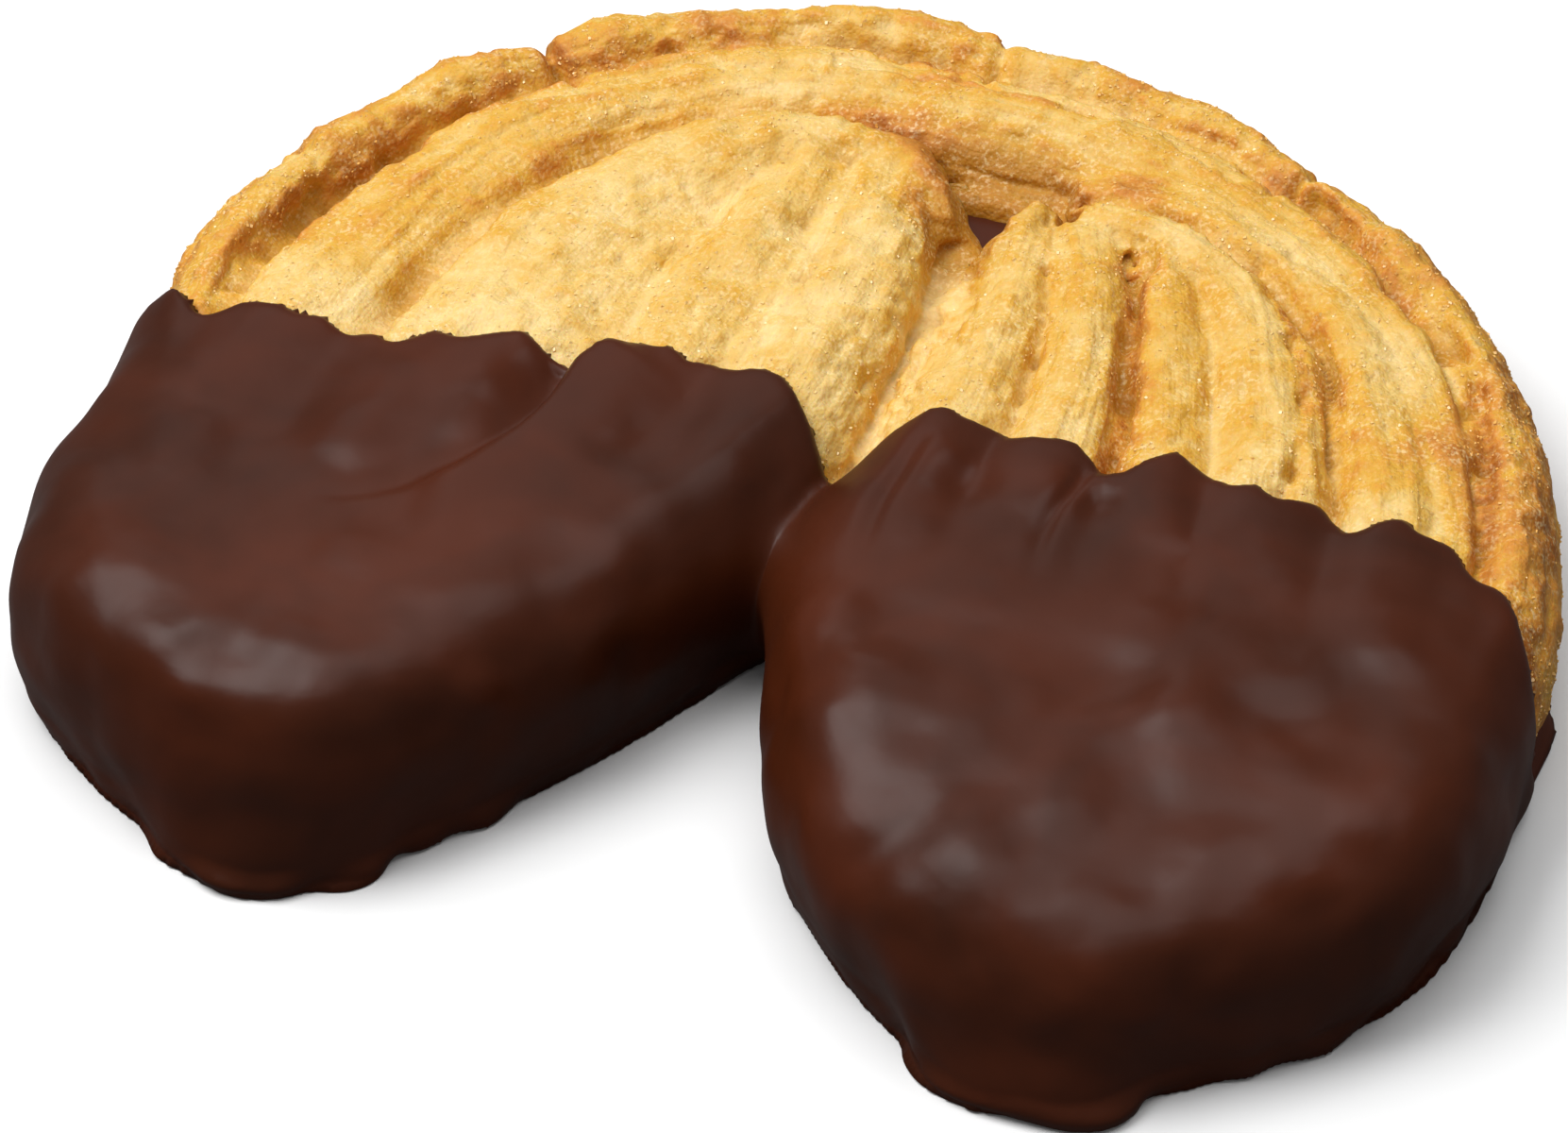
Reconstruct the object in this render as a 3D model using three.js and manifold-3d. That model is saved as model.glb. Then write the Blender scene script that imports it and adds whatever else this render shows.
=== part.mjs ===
// A palmier: a flat roll of puff pastry with two ears, lying on its back face, its ears dipped in dark chocolate.
// Millimetres, +Z up. The ears point to -Y and the arc of the roll is at +Y.
// The underside has a film of the same chocolate, which also fills the hole between the two curls to half its depth.
import * as THREE from "three";
import { mergeVertices } from "three/addons/utils/BufferGeometryUtils.js";
import Module from "manifold-3d";

const FILM = 1.2; // chocolate under the whole pastry
const COAT = 1.3; // chocolate over the ears
const GAP = 0.3; // clearance between the pastry and the chocolate round it
const CORE_TOP = 12.5; // height of the solid dough below the folds
const PILLOW_TOP = 19.5; // above every fold
const PLUG_TOP = 11; // chocolate in the hole between the curls
const PLAN_CENTRE = [1.3, 11.65]; // middle of the plan box, where the origin goes
const SLIVER = 0.06; // edges that the joins leave are dropped when the form moves less than this

const FLANGE_OUT = 0.1; // how far the flange reaches past the widest line of the pastry
const OUTLINE_STEPS = 72; // points round one ear
const FOOT_STEPS = 24; // points round a foot
const STRIP_STEPS = 3; // stations between two points of a fold
const CROWN = [-1, -0.78, -0.52, -0.2, 0.2, 0.52, 0.78, 1]; // across a fold, from edge to edge

// How far the side stands in from its widest line, at each height. The top edge is round and the foot is drawn in.
const SIDE = [
  [FILM, 2],
  [3, 1.2],
  [6, 0.3],
  [9, 0],
  [12, 0.6],
  [14.4, 1.9],
  [16.2, 3.9],
  [17.6, 6.4],
  [PILLOW_TOP, 9],
];
// The same for what the chocolate leaves on the surface: a thin flange all round, and a thicker foot at each tip.
const FLANGE = [
  [0, 0],
  [0.7, 0],
  [FILM, 0.5],
];
const FOOT = [
  [0, 0.2],
  [1, 0],
  [2.2, 0.5],
  [3.2, 1.8],
];

// Outer edge of the left half, from the middle of the arc round to the tip of the left ear.
const LEFT_SIDE = [
  [-3, 64.6], [-9, 65.2], [-16.4, 64.6], [-24.6, 60.9], [-32.6, 58], [-39.1, 52.6], [-43.3, 47.9], [-48.3, 43.9],
  [-52, 37.4], [-55, 31.8], [-58.8, 23.8], [-59.4, 15.4], [-58.4, 8], [-57.6, 0], [-57.2, -9], [-57.3, -17],
  [-55.2, -25.2], [-49.1, -31.2], [-42, -35.6], [-36.2, -37.4],
];
// Its inner edge, from the tip up the gap between the ears and along the cleft to the hole.
const LEFT_FLANK = [
  [-30.4, -37.2], [-25.3, -36.4], [-20.4, -31.6], [-15, -25.5], [-9.4, -17.6], [-4.6, -9.2], [-1, -1.6],
  [2.6, 7], [4.9, 15], [5, 28], [5.4, 38], [7.5, 47], [6, 57], [2, 63],
];
// The same for the right half.
const RIGHT_SIDE = [
  [0.3, 64.6], [9.4, 63.3], [15.6, 62.6], [21.8, 59.7], [31.3, 55], [36.9, 51.9], [44, 46], [48.6, 40.4],
  [53, 34], [56, 27.2], [58.8, 19.2], [60.8, 11.2], [60.8, 2], [60.6, -8], [58.2, -19.4], [50.4, -29.2],
  [42.7, -35.8], [37.3, -38],
];
const RIGHT_FLANK = [
  [31, -38.6], [24.4, -37.9], [16.2, -32.3], [10, -25.7], [5.6, -17.4], [2.8, -9.2], [1.2, -1.6],
  [2.6, 8], [2.7, 15], [2.8, 28], [2.4, 37], [-1, 46], [-5, 55], [-5, 62],
];
// Where the chocolate ran down to a foot under each tip.
const FEET = [
  [[-38.4, -35], [-38.6, -38.4], [-35, -39.9], [-30.4, -40.8], [-26.4, -39.2], [-24.6, -36], [-30, -32]],
  [[23.6, -35.4], [23.6, -38.8], [26.4, -41], [31, -42], [34.6, -41], [38, -41.2], [41, -39.6], [42, -36], [32, -33]],
];

// Folds: [x, y, half width, top, how far the top drops to its edges], from the curls or the arc to the tips.
const FOLDS = {
  rim: [
    [-35, -47, 4, 14, 1], [-38, -35, 4, 15.6, 1], [-45, -28, 4, 16, 1], [-51.4, -21, 4, 16.6, 1],
    [-53.6, -8, 4, 17, 1.2], [-53.4, 4, 3.9, 16.8, 2], [-53.8, 14, 3.7, 16.4, 3], [-53.2, 22.6, 3.6, 16, 3.4],
    [-50, 32.4, 3.6, 15.8, 3.4], [-44.6, 41.4, 3.6, 15.6, 3.2], [-37, 49.4, 3.6, 15.4, 3],
    [-27.6, 55.8, 3.7, 15.2, 2.8], [-15.6, 60.6, 3.8, 15.4, 2.8], [-2, 61.2, 3.8, 15.2, 2.8],
    [12, 59.4, 3.8, 15.4, 2.8], [24.6, 54.4, 3.7, 15.6, 3], [35.4, 48.2, 3.6, 15.8, 3.2],
    [45.2, 38, 3.6, 16, 3.4], [51.4, 26.4, 3.6, 16.2, 3.2], [55.4, 13, 3.6, 16.4, 2.6],
    [56, 2, 3.9, 16.6, 1.6], [55.4, -10, 4, 16.4, 1], [50, -23, 4, 16, 1], [43, -34, 4, 15.4, 1],
    [40, -47, 4, 14, 1],
  ],
  band: [
    [-36, -47, 6, 14.6, 0.6], [-38.6, -30, 6, 16.4, 0.6], [-45, -16, 6.6, 17.2, 0.8], [-46, -4, 7, 17.4, 1.2],
    [-45, 6, 7, 17.2, 1.8], [-43.8, 16, 6.8, 16.8, 2.4], [-41, 26, 6.6, 16.6, 2.4],
    [-36.4, 36, 6.2, 16.4, 2.4], [-28.4, 44.8, 6, 16.2, 2.4], [-16.4, 51.4, 5.8, 16.2, 2.4],
    [-2, 52.8, 5.8, 16, 2.4], [12, 51.6, 5.4, 16.2, 2.4], [24, 47.6, 4.9, 16.4, 2.2], [34.4, 41.4, 4.2, 16.6, 2],
    [41.8, 33.8, 3.6, 16.8, 1.8], [47.6, 24, 3.4, 17, 1.8], [51.6, 13, 3.2, 17, 1.6], [52.4, 1, 3.6, 17, 1],
    [51, -12, 4, 16.8, 0.6], [45, -26, 4, 16.2, 0.6], [40, -47, 4, 14.4, 0.6],
  ],
  left_outer: [
    [1.4, 38.2, 2.4, 15.4, 1.6], [-3.4, 41.8, 3, 16.8, 1.6], [-11, 43.4, 3.4, 17.4, 1.6],
    [-19, 40, 4.4, 17.6, 1.6], [-25, 31, 6.6, 17.6, 2], [-28, 19, 9, 17.8, 2.2], [-28.6, 6, 10, 17.8, 2],
    [-32, -8, 10, 17.8, 1.2], [-34, -22, 9, 17.4, 0.8], [-32, -36, 8, 16, 0.6], [-31, -47, 8, 14.6, 0.6],
  ],
  left_middle: [
    [-12, 40, 3.6, 16.6, 1], [-12.4, 33, 4, 17.6, 1.6], [-13.6, 22, 4.8, 17.9, 1.8], [-14.8, 10, 5.4, 17.9, 1.8],
    [-18, -3, 6, 17.9, 1.2], [-23, -16, 6, 17.6, 0.8], [-27, -32, 5, 16.2, 0.6], [-28, -47, 5, 14.6, 0.6],
  ],
  left_inner: [
    [-6, 41, 3.6, 16.8, 1], [-4.6, 34, 5, 17.6, 1.6], [-4.2, 24, 6, 17.9, 2], [-4.4, 12, 6.6, 17.9, 2],
    [-7.4, 0, 6.6, 17.8, 1.4], [-13.6, -12, 6, 17.4, 1], [-20, -24, 5.4, 17, 0.8], [-24, -36, 5, 15.6, 0.6],
    [-25, -47, 5, 14.6, 0.6],
  ],
  right_1: [
    [6.6, 42, 2.6, 16, 1], [7, 35, 3.8, 17.2, 1.6], [8, 26, 5, 17.6, 2], [8.6, 14, 5.6, 17.8, 2],
    [8.6, 3, 5.6, 17.7, 1.6], [10, -9, 5.2, 17.4, 1], [15, -21, 5, 17, 0.8], [22, -34, 5, 15.8, 0.6],
    [26, -47, 5, 14.6, 0.6],
  ],
  right_2: [
    [11.6, 40.4, 3, 16.6, 1], [14.2, 34, 3.8, 17.6, 1.8], [16.8, 25, 4.2, 18, 2.6], [18.6, 14, 5, 18, 2.6],
    [19, 4, 5.2, 17.9, 1.8], [20, -8, 5.2, 17.6, 1], [23.6, -20, 5.2, 17.2, 0.8], [28, -34, 5, 16, 0.6],
    [30, -47, 5, 14.6, 0.6],
  ],
  right_3: [
    [19.2, 38, 2.4, 16.8, 1], [21.4, 32, 3.4, 17.8, 2], [24, 24, 4, 18, 2.6], [26.8, 14, 4.2, 18, 2.4],
    [28, 4, 4.6, 17.9, 1.6], [29.4, -8, 5, 17.6, 1], [31.4, -22, 5, 17.2, 0.8], [33, -36, 5, 16, 0.6],
    [33.6, -47, 5, 14.6, 0.6],
  ],
  right_4: [
    [11, 41.4, 2.6, 16.8, 1.2], [17.4, 41, 2.8, 17.4, 1.4], [23.8, 38.2, 3.4, 17.6, 1.6],
    [28.4, 33.4, 4.6, 17.8, 2], [32.2, 25, 5.4, 17.9, 2.2], [35.4, 14, 5.6, 18, 2.2], [37, 4, 5.6, 17.9, 1.6],
    [38.4, -8, 5.4, 17.6, 1], [38.6, -22, 5.2, 17, 0.8], [37, -36, 5, 15.8, 0.6], [36.4, -47, 5, 14.6, 0.6],
  ],
  right_5: [
    [9.4, 44.6, 2.2, 16.2, 1.2], [17.4, 45, 2.6, 16.8, 1.4], [25.4, 42.2, 2.8, 17, 1.4],
    [32, 38, 3, 17.2, 1.6], [37.8, 32.4, 3.4, 17.4, 2], [42, 24, 4.2, 17.6, 2.2], [46, 13, 5, 17.8, 2],
    [47.4, 3, 5.2, 17.7, 1.4], [47, -9, 5, 17.4, 1], [44.4, -22, 5, 16.8, 0.8], [41, -35, 5, 15.6, 0.6],
    [39, -47, 5, 14.6, 0.6],
  ],
};

// The hole between the two curls and the arc behind them.
const HOLE = [
  [-3.4, 44.8], [-0.4, 41], [1.8, 37.6], [3.9, 34], [5.4, 37.6], [6.7, 41], [8, 44.2], [5.5, 45.6], [1, 45.8],
];

// Where the dip ends, from left to right: high on each fold and low in each groove.
const DIP_LINE = [
  [-70, 5.4], [-55, 6.3], [-51.6, 3.6], [-49, 6.1], [-45.4, 6.7], [-44.4, 5.8], [-42, 6.6], [-39.5, 5.5],
  [-37.4, 6.6], [-35.5, 5.2], [-32.5, 7.8], [-30.5, 6.5], [-25.5, 9.5], [-23.4, 8], [-20, 7.4], [-19, 11],
  [-13.8, 11.8], [-12, 10.6], [-10.2, 11.6], [-8.5, 10.8], [-6, 11.8], [-4, 11.3], [-2, 9.5], [1.5, 6],
  [3, 4.6], [5.5, 9.5], [9, 12.5], [11, 11.8], [14, 12.1], [15.2, 11.1], [20.5, 12.1], [23.4, 9.4], [25, 10],
  [28, 13.5], [33.5, 11.5], [35.3, 12.3], [37, 11], [40.4, 12.4], [43.4, 9.6], [46.6, 12.5], [48.5, 11.6],
  [51, 11.7], [54, 8.4], [56, 8.5], [61.7, 2], [70, 1],
];

const wasm = await Module();
wasm.setup();

// A BufferGeometry as a manifold-3d solid.
function solid(geometry) {
  geometry.deleteAttribute("normal");
  geometry.deleteAttribute("uv");
  const merged = mergeVertices(geometry, 1e-4);
  return new wasm.Manifold(
    new wasm.Mesh({
      numProp: 3,
      vertProperties: new Float32Array(merged.attributes.position.array),
      triVerts: new Uint32Array(merged.index.array),
    }),
  );
}

// A closed skin over rings that all have the same number of points, with the same cap on the first and the last.
// Each ring runs anticlockwise as seen from beyond the last one, and so does the flat plan of the cap.
function skin(rings, capPlan) {
  const count = rings[0].length;
  const last = (rings.length - 1) * count;
  const index = [];
  for (let r = 0; r + 1 < rings.length; r++)
    for (let i = 0; i < count; i++) {
      const a = r * count + i;
      const b = r * count + ((i + 1) % count);
      index.push(a, b, b + count, a, b + count, a + count);
    }
  for (const [a, b, c] of THREE.ShapeUtils.triangulateShape(capPlan, []))
    index.push(c, b, a, last + a, last + b, last + c);
  const geometry = new THREE.BufferGeometry().setFromPoints(rings.flat());
  geometry.setIndex(index);
  return solid(geometry);
}

// Points of a closed plan outline, anticlockwise, each moved out along its normal.
function outlineRing(points, steps, out, z) {
  const curve = new THREE.CatmullRomCurve3(
    points.map(([x, y]) => new THREE.Vector3(x, y, 0)),
    true,
  );
  return curve
    .getSpacedPoints(steps)
    .slice(0, steps)
    .map((p, i) => {
      const t = curve.getTangentAt(i / steps);
      return new THREE.Vector3(p.x + t.y * out, p.y - t.x * out, z);
    });
}

// A body with the given side, grown outwards by a given amount on a plan outline.
function plate(points, side, steps, grow = 0) {
  const rings = side.map(([z, inset]) => outlineRing(points, steps, grow - inset, z));
  const widest = outlineRing(points, steps, 0, 0);
  return skin(rings, widest.map((p) => new THREE.Vector2(p.x, p.y)));
}

// One half of the plan, grown all round by a given amount, but standing on a given height.
function pillow(points, grow, foot) {
  const side = SIDE.map(([z, inset], i) => [i ? z + (grow * z) / PILLOW_TOP : foot, inset]);
  return plate(points, side, OUTLINE_STEPS, grow);
}

// A fold: a strip with a crowned top, from the floor up.
function fold(points, grow) {
  const at = (pick) => new THREE.CatmullRomCurve3(points.map(pick), false, "catmullrom", 0.5);
  const path = at(([x, y]) => new THREE.Vector3(x, y, 0));
  const form = at(([, , halfWidth, top, drop]) => new THREE.Vector3(halfWidth, top, drop));
  const steps = (points.length - 1) * STRIP_STEPS;
  const rings = [];
  for (let k = 0; k <= steps; k++) {
    const p = path.getPoint(k / steps);
    const t = path.getTangent(k / steps);
    const f = form.getPoint(k / steps);
    const across = (s, z) => new THREE.Vector3(p.x - t.y * s, p.y + t.x * s, z);
    const halfWidth = f.x + grow;
    const crown = CROWN.map((s) => across(s * halfWidth, f.y + grow - f.z * s * s));
    rings.push([across(-halfWidth, -1), across(halfWidth, -1), ...crown.reverse()]);
  }
  const crownPlan = CROWN.map((s) => new THREE.Vector2(s, 1 - s * s)).reverse();
  return skin(rings, [new THREE.Vector2(-1, -1), new THREE.Vector2(1, -1), ...crownPlan]);
}

const join = (solids) => solids.reduce((a, b) => a.add(b));

// A block between two heights, wider than the pastry.
function layer(from, to) {
  return solid(new THREE.BoxGeometry(200, 200, to - from).translate(0, 0, (from + to) / 2));
}

// A prism on a plan outline, between two heights.
function prism(points, from, to) {
  const shape = new THREE.Shape(points.map(([x, y]) => new THREE.Vector2(x, y)));
  const options = { depth: to - from, bevelEnabled: false };
  return solid(new THREE.ExtrudeGeometry(shape, options).translate(0, 0, from));
}

// The hole, widened all round by a given amount.
function hole(widen, from, to) {
  const [cx, cy] = [2.4, 41];
  const points = HOLE.map(([x, y]) => {
    const far = Math.hypot(x - cx, y - cy);
    const k = (far + widen) / far;
    return [cx + (x - cx) * k, cy + (y - cy) * k];
  });
  return prism(points, from, to);
}

const HALVES = [
  [...LEFT_SIDE, ...LEFT_FLANK],
  [...RIGHT_SIDE, ...RIGHT_FLANK].reverse(),
];

// The whole roll, grown by a given amount: folds on a core, trimmed to the two halves.
function roll(grow, foot) {
  const halves = HALVES.map((points) => pillow(points, grow, foot));
  const folds = Object.values(FOLDS).map((points) => fold(points, grow));
  return join(halves).intersect(join([layer(-1, CORE_TOP + grow), ...folds]));
}

const dipped = prism([...DIP_LINE, [70, -60], [-70, -60]].reverse(), -1, 40);

const dough = roll(0, FILM + GAP).subtract(hole(0, -1, 40));
const room = roll(GAP, FILM).subtract(hole(-GAP, -1, 40));
const coat = roll(COAT, 0).intersect(dipped.add(layer(-1, FILM)));
const flange = join(HALVES.map((points) => plate(points, FLANGE, OUTLINE_STEPS, FLANGE_OUT)));
const feet = join(FEET.map((points) => plate(points, FOOT, FOOT_STEPS)));
const plug = hole(-GAP, FILM / 2, PLUG_TOP);
const chocolate = join([coat, flange, feet]).subtract(room).add(plug);

const group = new THREE.Group();

// Adds a solid to the group as a named mesh, with the origin below the middle of the plan. The slivers that the
// joins leave are collapsed first.
function piece(name, body, look) {
  const mesh = body.asOriginal().simplify(SLIVER).getMesh();
  const geometry = new THREE.BufferGeometry();
  geometry.setAttribute("position", new THREE.BufferAttribute(mesh.vertProperties, 3));
  geometry.setIndex(new THREE.BufferAttribute(mesh.triVerts, 1));
  geometry.translate(-PLAN_CENTRE[0], -PLAN_CENTRE[1], 0);
  const part = new THREE.Mesh(geometry, new THREE.MeshStandardMaterial(look));
  part.name = name;
  group.add(part);
}

piece("pastry", dough, { color: 0xe6b560, roughness: 0.75, metalness: 0 });
piece("chocolate", chocolate, { color: 0x50301f, roughness: 0.38, metalness: 0 });

export default group;
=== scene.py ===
"""A baked palmier with its ears dipped in dark chocolate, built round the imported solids."""

import math

import bpy
import numpy as np
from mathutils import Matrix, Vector
from mathutils.bvhtree import BVHTree


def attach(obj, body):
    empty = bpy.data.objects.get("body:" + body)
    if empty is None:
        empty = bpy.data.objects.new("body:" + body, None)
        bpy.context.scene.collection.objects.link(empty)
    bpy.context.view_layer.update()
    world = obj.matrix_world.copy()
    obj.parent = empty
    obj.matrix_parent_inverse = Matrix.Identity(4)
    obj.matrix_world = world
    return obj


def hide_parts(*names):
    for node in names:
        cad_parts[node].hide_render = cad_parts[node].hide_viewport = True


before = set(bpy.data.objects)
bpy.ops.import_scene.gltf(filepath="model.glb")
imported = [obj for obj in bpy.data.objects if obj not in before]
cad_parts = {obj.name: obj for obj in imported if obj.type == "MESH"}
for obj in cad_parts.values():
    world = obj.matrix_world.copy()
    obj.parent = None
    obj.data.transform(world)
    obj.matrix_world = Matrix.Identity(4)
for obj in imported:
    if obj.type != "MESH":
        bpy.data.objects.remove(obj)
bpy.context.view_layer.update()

bl_info = {
    "name": "Palmier",
    "version": (1, 0, 0),
    "blender": (4, 5, 0),
    "location": "3D View > Sidebar > Palmier",
    "description": "Builds a palmier with dipped ears: crust, chocolate and sugar",
    "category": "Add Mesh",
}

MM = 0.001

# Plan points are in millimetres, in the plan that the solids were drawn in. This is its point above the
# origin.
PLAN_CENTRE = np.array([1.3, 11.65])

# Centre lines of the folds, [x, y, half width], from the curls or round the arc to where the chocolate hides
# them.
FOLD_LINES = {
    "rim": [
        [-53.4, -20, 4], [-53.6, -8, 4], [-53.4, 4, 3.9], [-53.8, 14, 3.7], [-53.2, 22.6, 3.6],
        [-50, 32.4, 3.6], [-44.6, 41.4, 3.6], [-37, 49.4, 3.6], [-27.6, 55.8, 3.7], [-15.6, 60.6, 3.8],
        [-2, 61.2, 3.8], [12, 59.4, 3.8], [24.6, 54.4, 3.7], [35.4, 48.2, 3.6], [45.2, 38, 3.6],
        [51.4, 26.4, 3.6], [55.4, 13, 3.6], [56, 2, 3.9], [55.4, -10, 4], [52, -20, 4],
    ],
    "band": [
        [-45, -16, 6.6], [-46, -4, 7], [-45, 6, 7], [-43.8, 16, 6.8], [-41, 26, 6.6], [-36.4, 36, 6.2],
        [-28.4, 44.8, 6], [-16.4, 51.4, 5.8], [-2, 52.8, 5.8], [12, 51.6, 5.4], [24, 47.6, 4.9],
        [34.4, 41.4, 4.2], [41.8, 33.8, 3.6], [47.6, 24, 3.4], [51.6, 13, 3.2], [52.4, 1, 3.6],
        [51, -12, 4],
    ],
    "left_outer": [
        [1.4, 38.2, 2.4], [-3.4, 41.8, 3], [-11, 43.4, 3.4], [-19, 40, 4.4], [-25, 31, 6.6], [-28, 19, 9],
        [-28.6, 6, 10], [-32, -8, 10],
    ],
    "left_middle": [
        [-12, 40, 3.6], [-12.4, 33, 4], [-13.6, 22, 4.8], [-14.8, 10, 5.4], [-18, -3, 6], [-23, -16, 6],
    ],
    "left_inner": [
        [-6, 41, 3.6], [-4.6, 34, 5], [-4.2, 24, 6], [-4.4, 12, 6.6], [-7.4, 0, 6.6], [-13.6, -12, 6],
    ],
    "right_1": [[6.6, 42, 2.6], [7, 35, 3.8], [8, 26, 5], [8.6, 14, 5.6], [8.6, 3, 5.6], [10, -9, 5.2]],
    "right_2": [
        [11.6, 40.4, 3], [14.2, 34, 3.8], [16.8, 25, 4.2], [18.6, 14, 5], [19, 4, 5.2], [20, -8, 5.2],
    ],
    "right_3": [[19.2, 38, 2.4], [21.4, 32, 3.4], [24, 24, 4], [26.8, 14, 4.2], [28, 4, 4.6], [29.4, -8, 5]],
    "right_4": [
        [11, 41.4, 2.6], [17.4, 41, 2.8], [23.8, 38.2, 3.4], [28.4, 33.4, 4.6], [32.2, 25, 5.4],
        [35.4, 14, 5.6], [37, 4, 5.6], [38.4, -8, 5.4],
    ],
    "right_5": [
        [9.4, 44.6, 2.2], [17.4, 45, 2.6], [25.4, 42.2, 2.8], [32, 38, 3], [37.8, 32.4, 3.4],
        [42, 24, 4.2], [46, 13, 5], [47.4, 3, 5.2], [47, -9, 5],
    ],
}

# How each fold flakes: width and length of a strip of layers, how unevenly the strips stand, depth of the
# fine lines between the layers, and how brown it baked, from 0 to 1. Lengths in millimetres.
FLAKING = {
    "rim": (2.2, 6, 0.16, 0.02, 0.47),
    "band": (1.6, 9, 0.6, 0.1, 0.34),
    "left_outer": (2.2, 14, 0.16, 0.04, 0.24),
    "left_middle": (1.9, 14, 0.2, 0.05, 0.3),
    "left_inner": (1.7, 14, 0.22, 0.07, 0.22),
    "right_1": (1.6, 14, 0.2, 0.05, 0.34),
    "right_2": (1.5, 26, 0.26, 0.1, 0.31),
    "right_3": (1.6, 26, 0.2, 0.07, 0.42),
    "right_4": (1.2, 20, 0.28, 0.12, 0.25),
    "right_5": (1.5, 18, 0.26, 0.08, 0.35),
}

# Creases in the valleys between two folds: how deep they are cut, how wide, and how far the folds round off
# towards them, in millimetres.
CREASES = {
    ("rim", "band"): (0.8, 0.5, 0.2),
    ("band", "left_outer"): (0.5, 0.8, 0.5),
    ("band", "right_5"): (0.1, 0.5, 0),
    ("left_outer", "left_middle"): (0.0, 0.8, 0.1),
    ("left_middle", "left_inner"): (0.1, 0.6, 0.1),
    ("left_inner", "right_1"): (0.4, 0.4, 0),
    ("right_1", "right_2"): (0.5, 0.4, 0.1),
    ("right_2", "right_3"): (1.9, 0.42, 0.2),
    ("right_3", "right_4"): (0.3, 0.45, 0.1),
    ("right_4", "right_5"): (1.4, 0.4, 0.3),
}

# Small hollows where layers broke away: [x, y, radius, depth].
PITS = [
    [18.4, 36.4, 1.0, 1.6], [10.8, 33, 0.5, 0.8], [11.5, 41.8, 0.6, 0.6], [26.9, 39.9, 0.8, 0.8],
    [32.8, 30.9, 0.8, 1.0], [35.4, 24.7, 0.8, 1.0], [37.2, 15.5, 0.9, 1.2], [37, 12.8, 0.8, 1.2],
    [29.5, 41.2, 0.7, 0.7], [3.2, 27.2, 1.0, 1.4], [4, 33.4, 0.7, 0.8], [-27.4, 41.6, 1.2, 0.4],
    [-21.8, 42.4, 0.8, 0.8], [-13.9, 38, 1.4, 0.4], [-1.3, 23, 0.8, 0.5], [3, 12, 1.2, 0.5],
    [13.2, 22.3, 0.6, 0.8], [19.8, 27.7, 0.9, 0.9], [21.6, 20.8, 1.0, 0.9], [-22, 22, 0.8, 0.4],
    [-34, 16, 1.2, 0.4],
]

# Furrows: their points, half width, depth, and how much browner the crust is coloured along them.
FURROWS = [
    ([[-52.4, 6], [-51.9, 14], [-50.2, 21], [-47.4, 27.5], [-44.2, 33.8]], 1.2, 1.3, 0.1),
    ([[-43.4, 36.8], [-37.6, 42.8], [-31.9, 49.2], [-27.7, 52.4]], 0.6, 1.0, 0.2),
    ([[-26.6, 53.7], [-23, 55.4], [-19.6, 56.6]], 0.4, 0.7, 0.2),
    ([[-30, 50], [-26.2, 52.1], [-22.4, 54.3], [-19.2, 55.7]], 0.3, 0.6, 0.1),
    ([[-16.3, 56.6], [-13.3, 57], [-6.3, 56.8], [-4, 56.4]], 0.4, 0.9, 0.3),
    ([[-8.8, 53.4], [-3, 55.1], [0.5, 53.9], [4.2, 54], [10, 54.4]], 0.35, 0.8, 0.3),
    ([[21, 52.6], [28, 50.6], [33.6, 46.6], [37.3, 43], [42, 38.4], [46.4, 34.2]], 0.7, 1.6, 0.38),
    ([[46.4, 34.2], [50.8, 24.4], [53.6, 13], [54, 6]], 0.7, 1.5, 0.38),
    ([[12, 56], [18, 55.4], [24, 53]], 0.35, 0.7, 0.2),
    ([[18.2, 35], [19.8, 27.7], [21.6, 20.8], [22.6, 13.7], [22.8, 9]], 0.5, 0.2, 0.5),
    ([[26.9, 39.9], [32.8, 30.9], [35.4, 24.7], [37.2, 15.5], [37.4, 11]], 0.4, 0.5, 0.35),
    ([[29.2, 33], [31.3, 22.1], [32.3, 12.3]], 0.35, 0.4, 0.1),
    ([[-39.1, 7.9], [-36.5, 18.4], [-33.7, 25.3], [-31.6, 33.4], [-28, 38.8], [-21.9, 42.4]], 1.0, 0.4, 0.1),
    ([[-5.9, 30.8], [-8.3, 22.1], [-10.8, 17.9]], 0.35, 0.35, 0.05),
    ([[-4.6, 30], [-7, 21.5], [-9.4, 17]], 0.3, 0.3, 0.05),
]

# Valleys that the crumb filled and softened: their points, reach, and how much of the valley is gone.
SOFT_VALLEYS = [
    ([[3.8, 33], [3.6, 30], [3.4, 27], [3.4, 22.9], [3.2, 18], [3.5, 12.4], [2.8, 6]], 3.4, 1.0),
    ([[-16, 37], [-18, 32], [-18.5, 27], [-19.6, 18], [-21.6, 6]], 3.4, 1.0),
    ([[-9.6, 36], [-9.2, 22], [-9.6, 12], [-11, 6]], 3, 0.9),
    ([[12, 47], [19, 46.4], [26, 44.2], [33, 39.6], [39.6, 33], [45, 24], [49.3, 13], [50, 6]], 2.4, 0.8),
    ([[10, 36], [12, 28], [13.2, 22], [13.6, 12], [14, 6]], 1.6, 0.5),
    ([[24.6, 36], [26, 27], [28, 20], [31, 12], [32, 6]], 1.6, 0.6),
]

# Where the crumb closed a slot: its points, reach, and the height of the crumb above the floor.
DEEP_SLOT = ([[-16.4, 35], [-18, 32], [-18.5, 27], [-18.8, 22.6], [-19, 20]], 2.6, 16)

# The hole between the two curls, and how far its wall runs out towards its foot.
HOLE_MIDDLE = (2.4, 41)
HOLE_WALL_FOOT = 2.2

# Above this height the top rises less and less, and it ends below this much more, in millimetres.
TOP_KNEE = 18.8
TOP_ROOM = 0.8

# The chocolate's edge runs between these two heights of the plan.
LOWEST_LIP = 1
HIGHEST_LIP = 14.5

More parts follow.
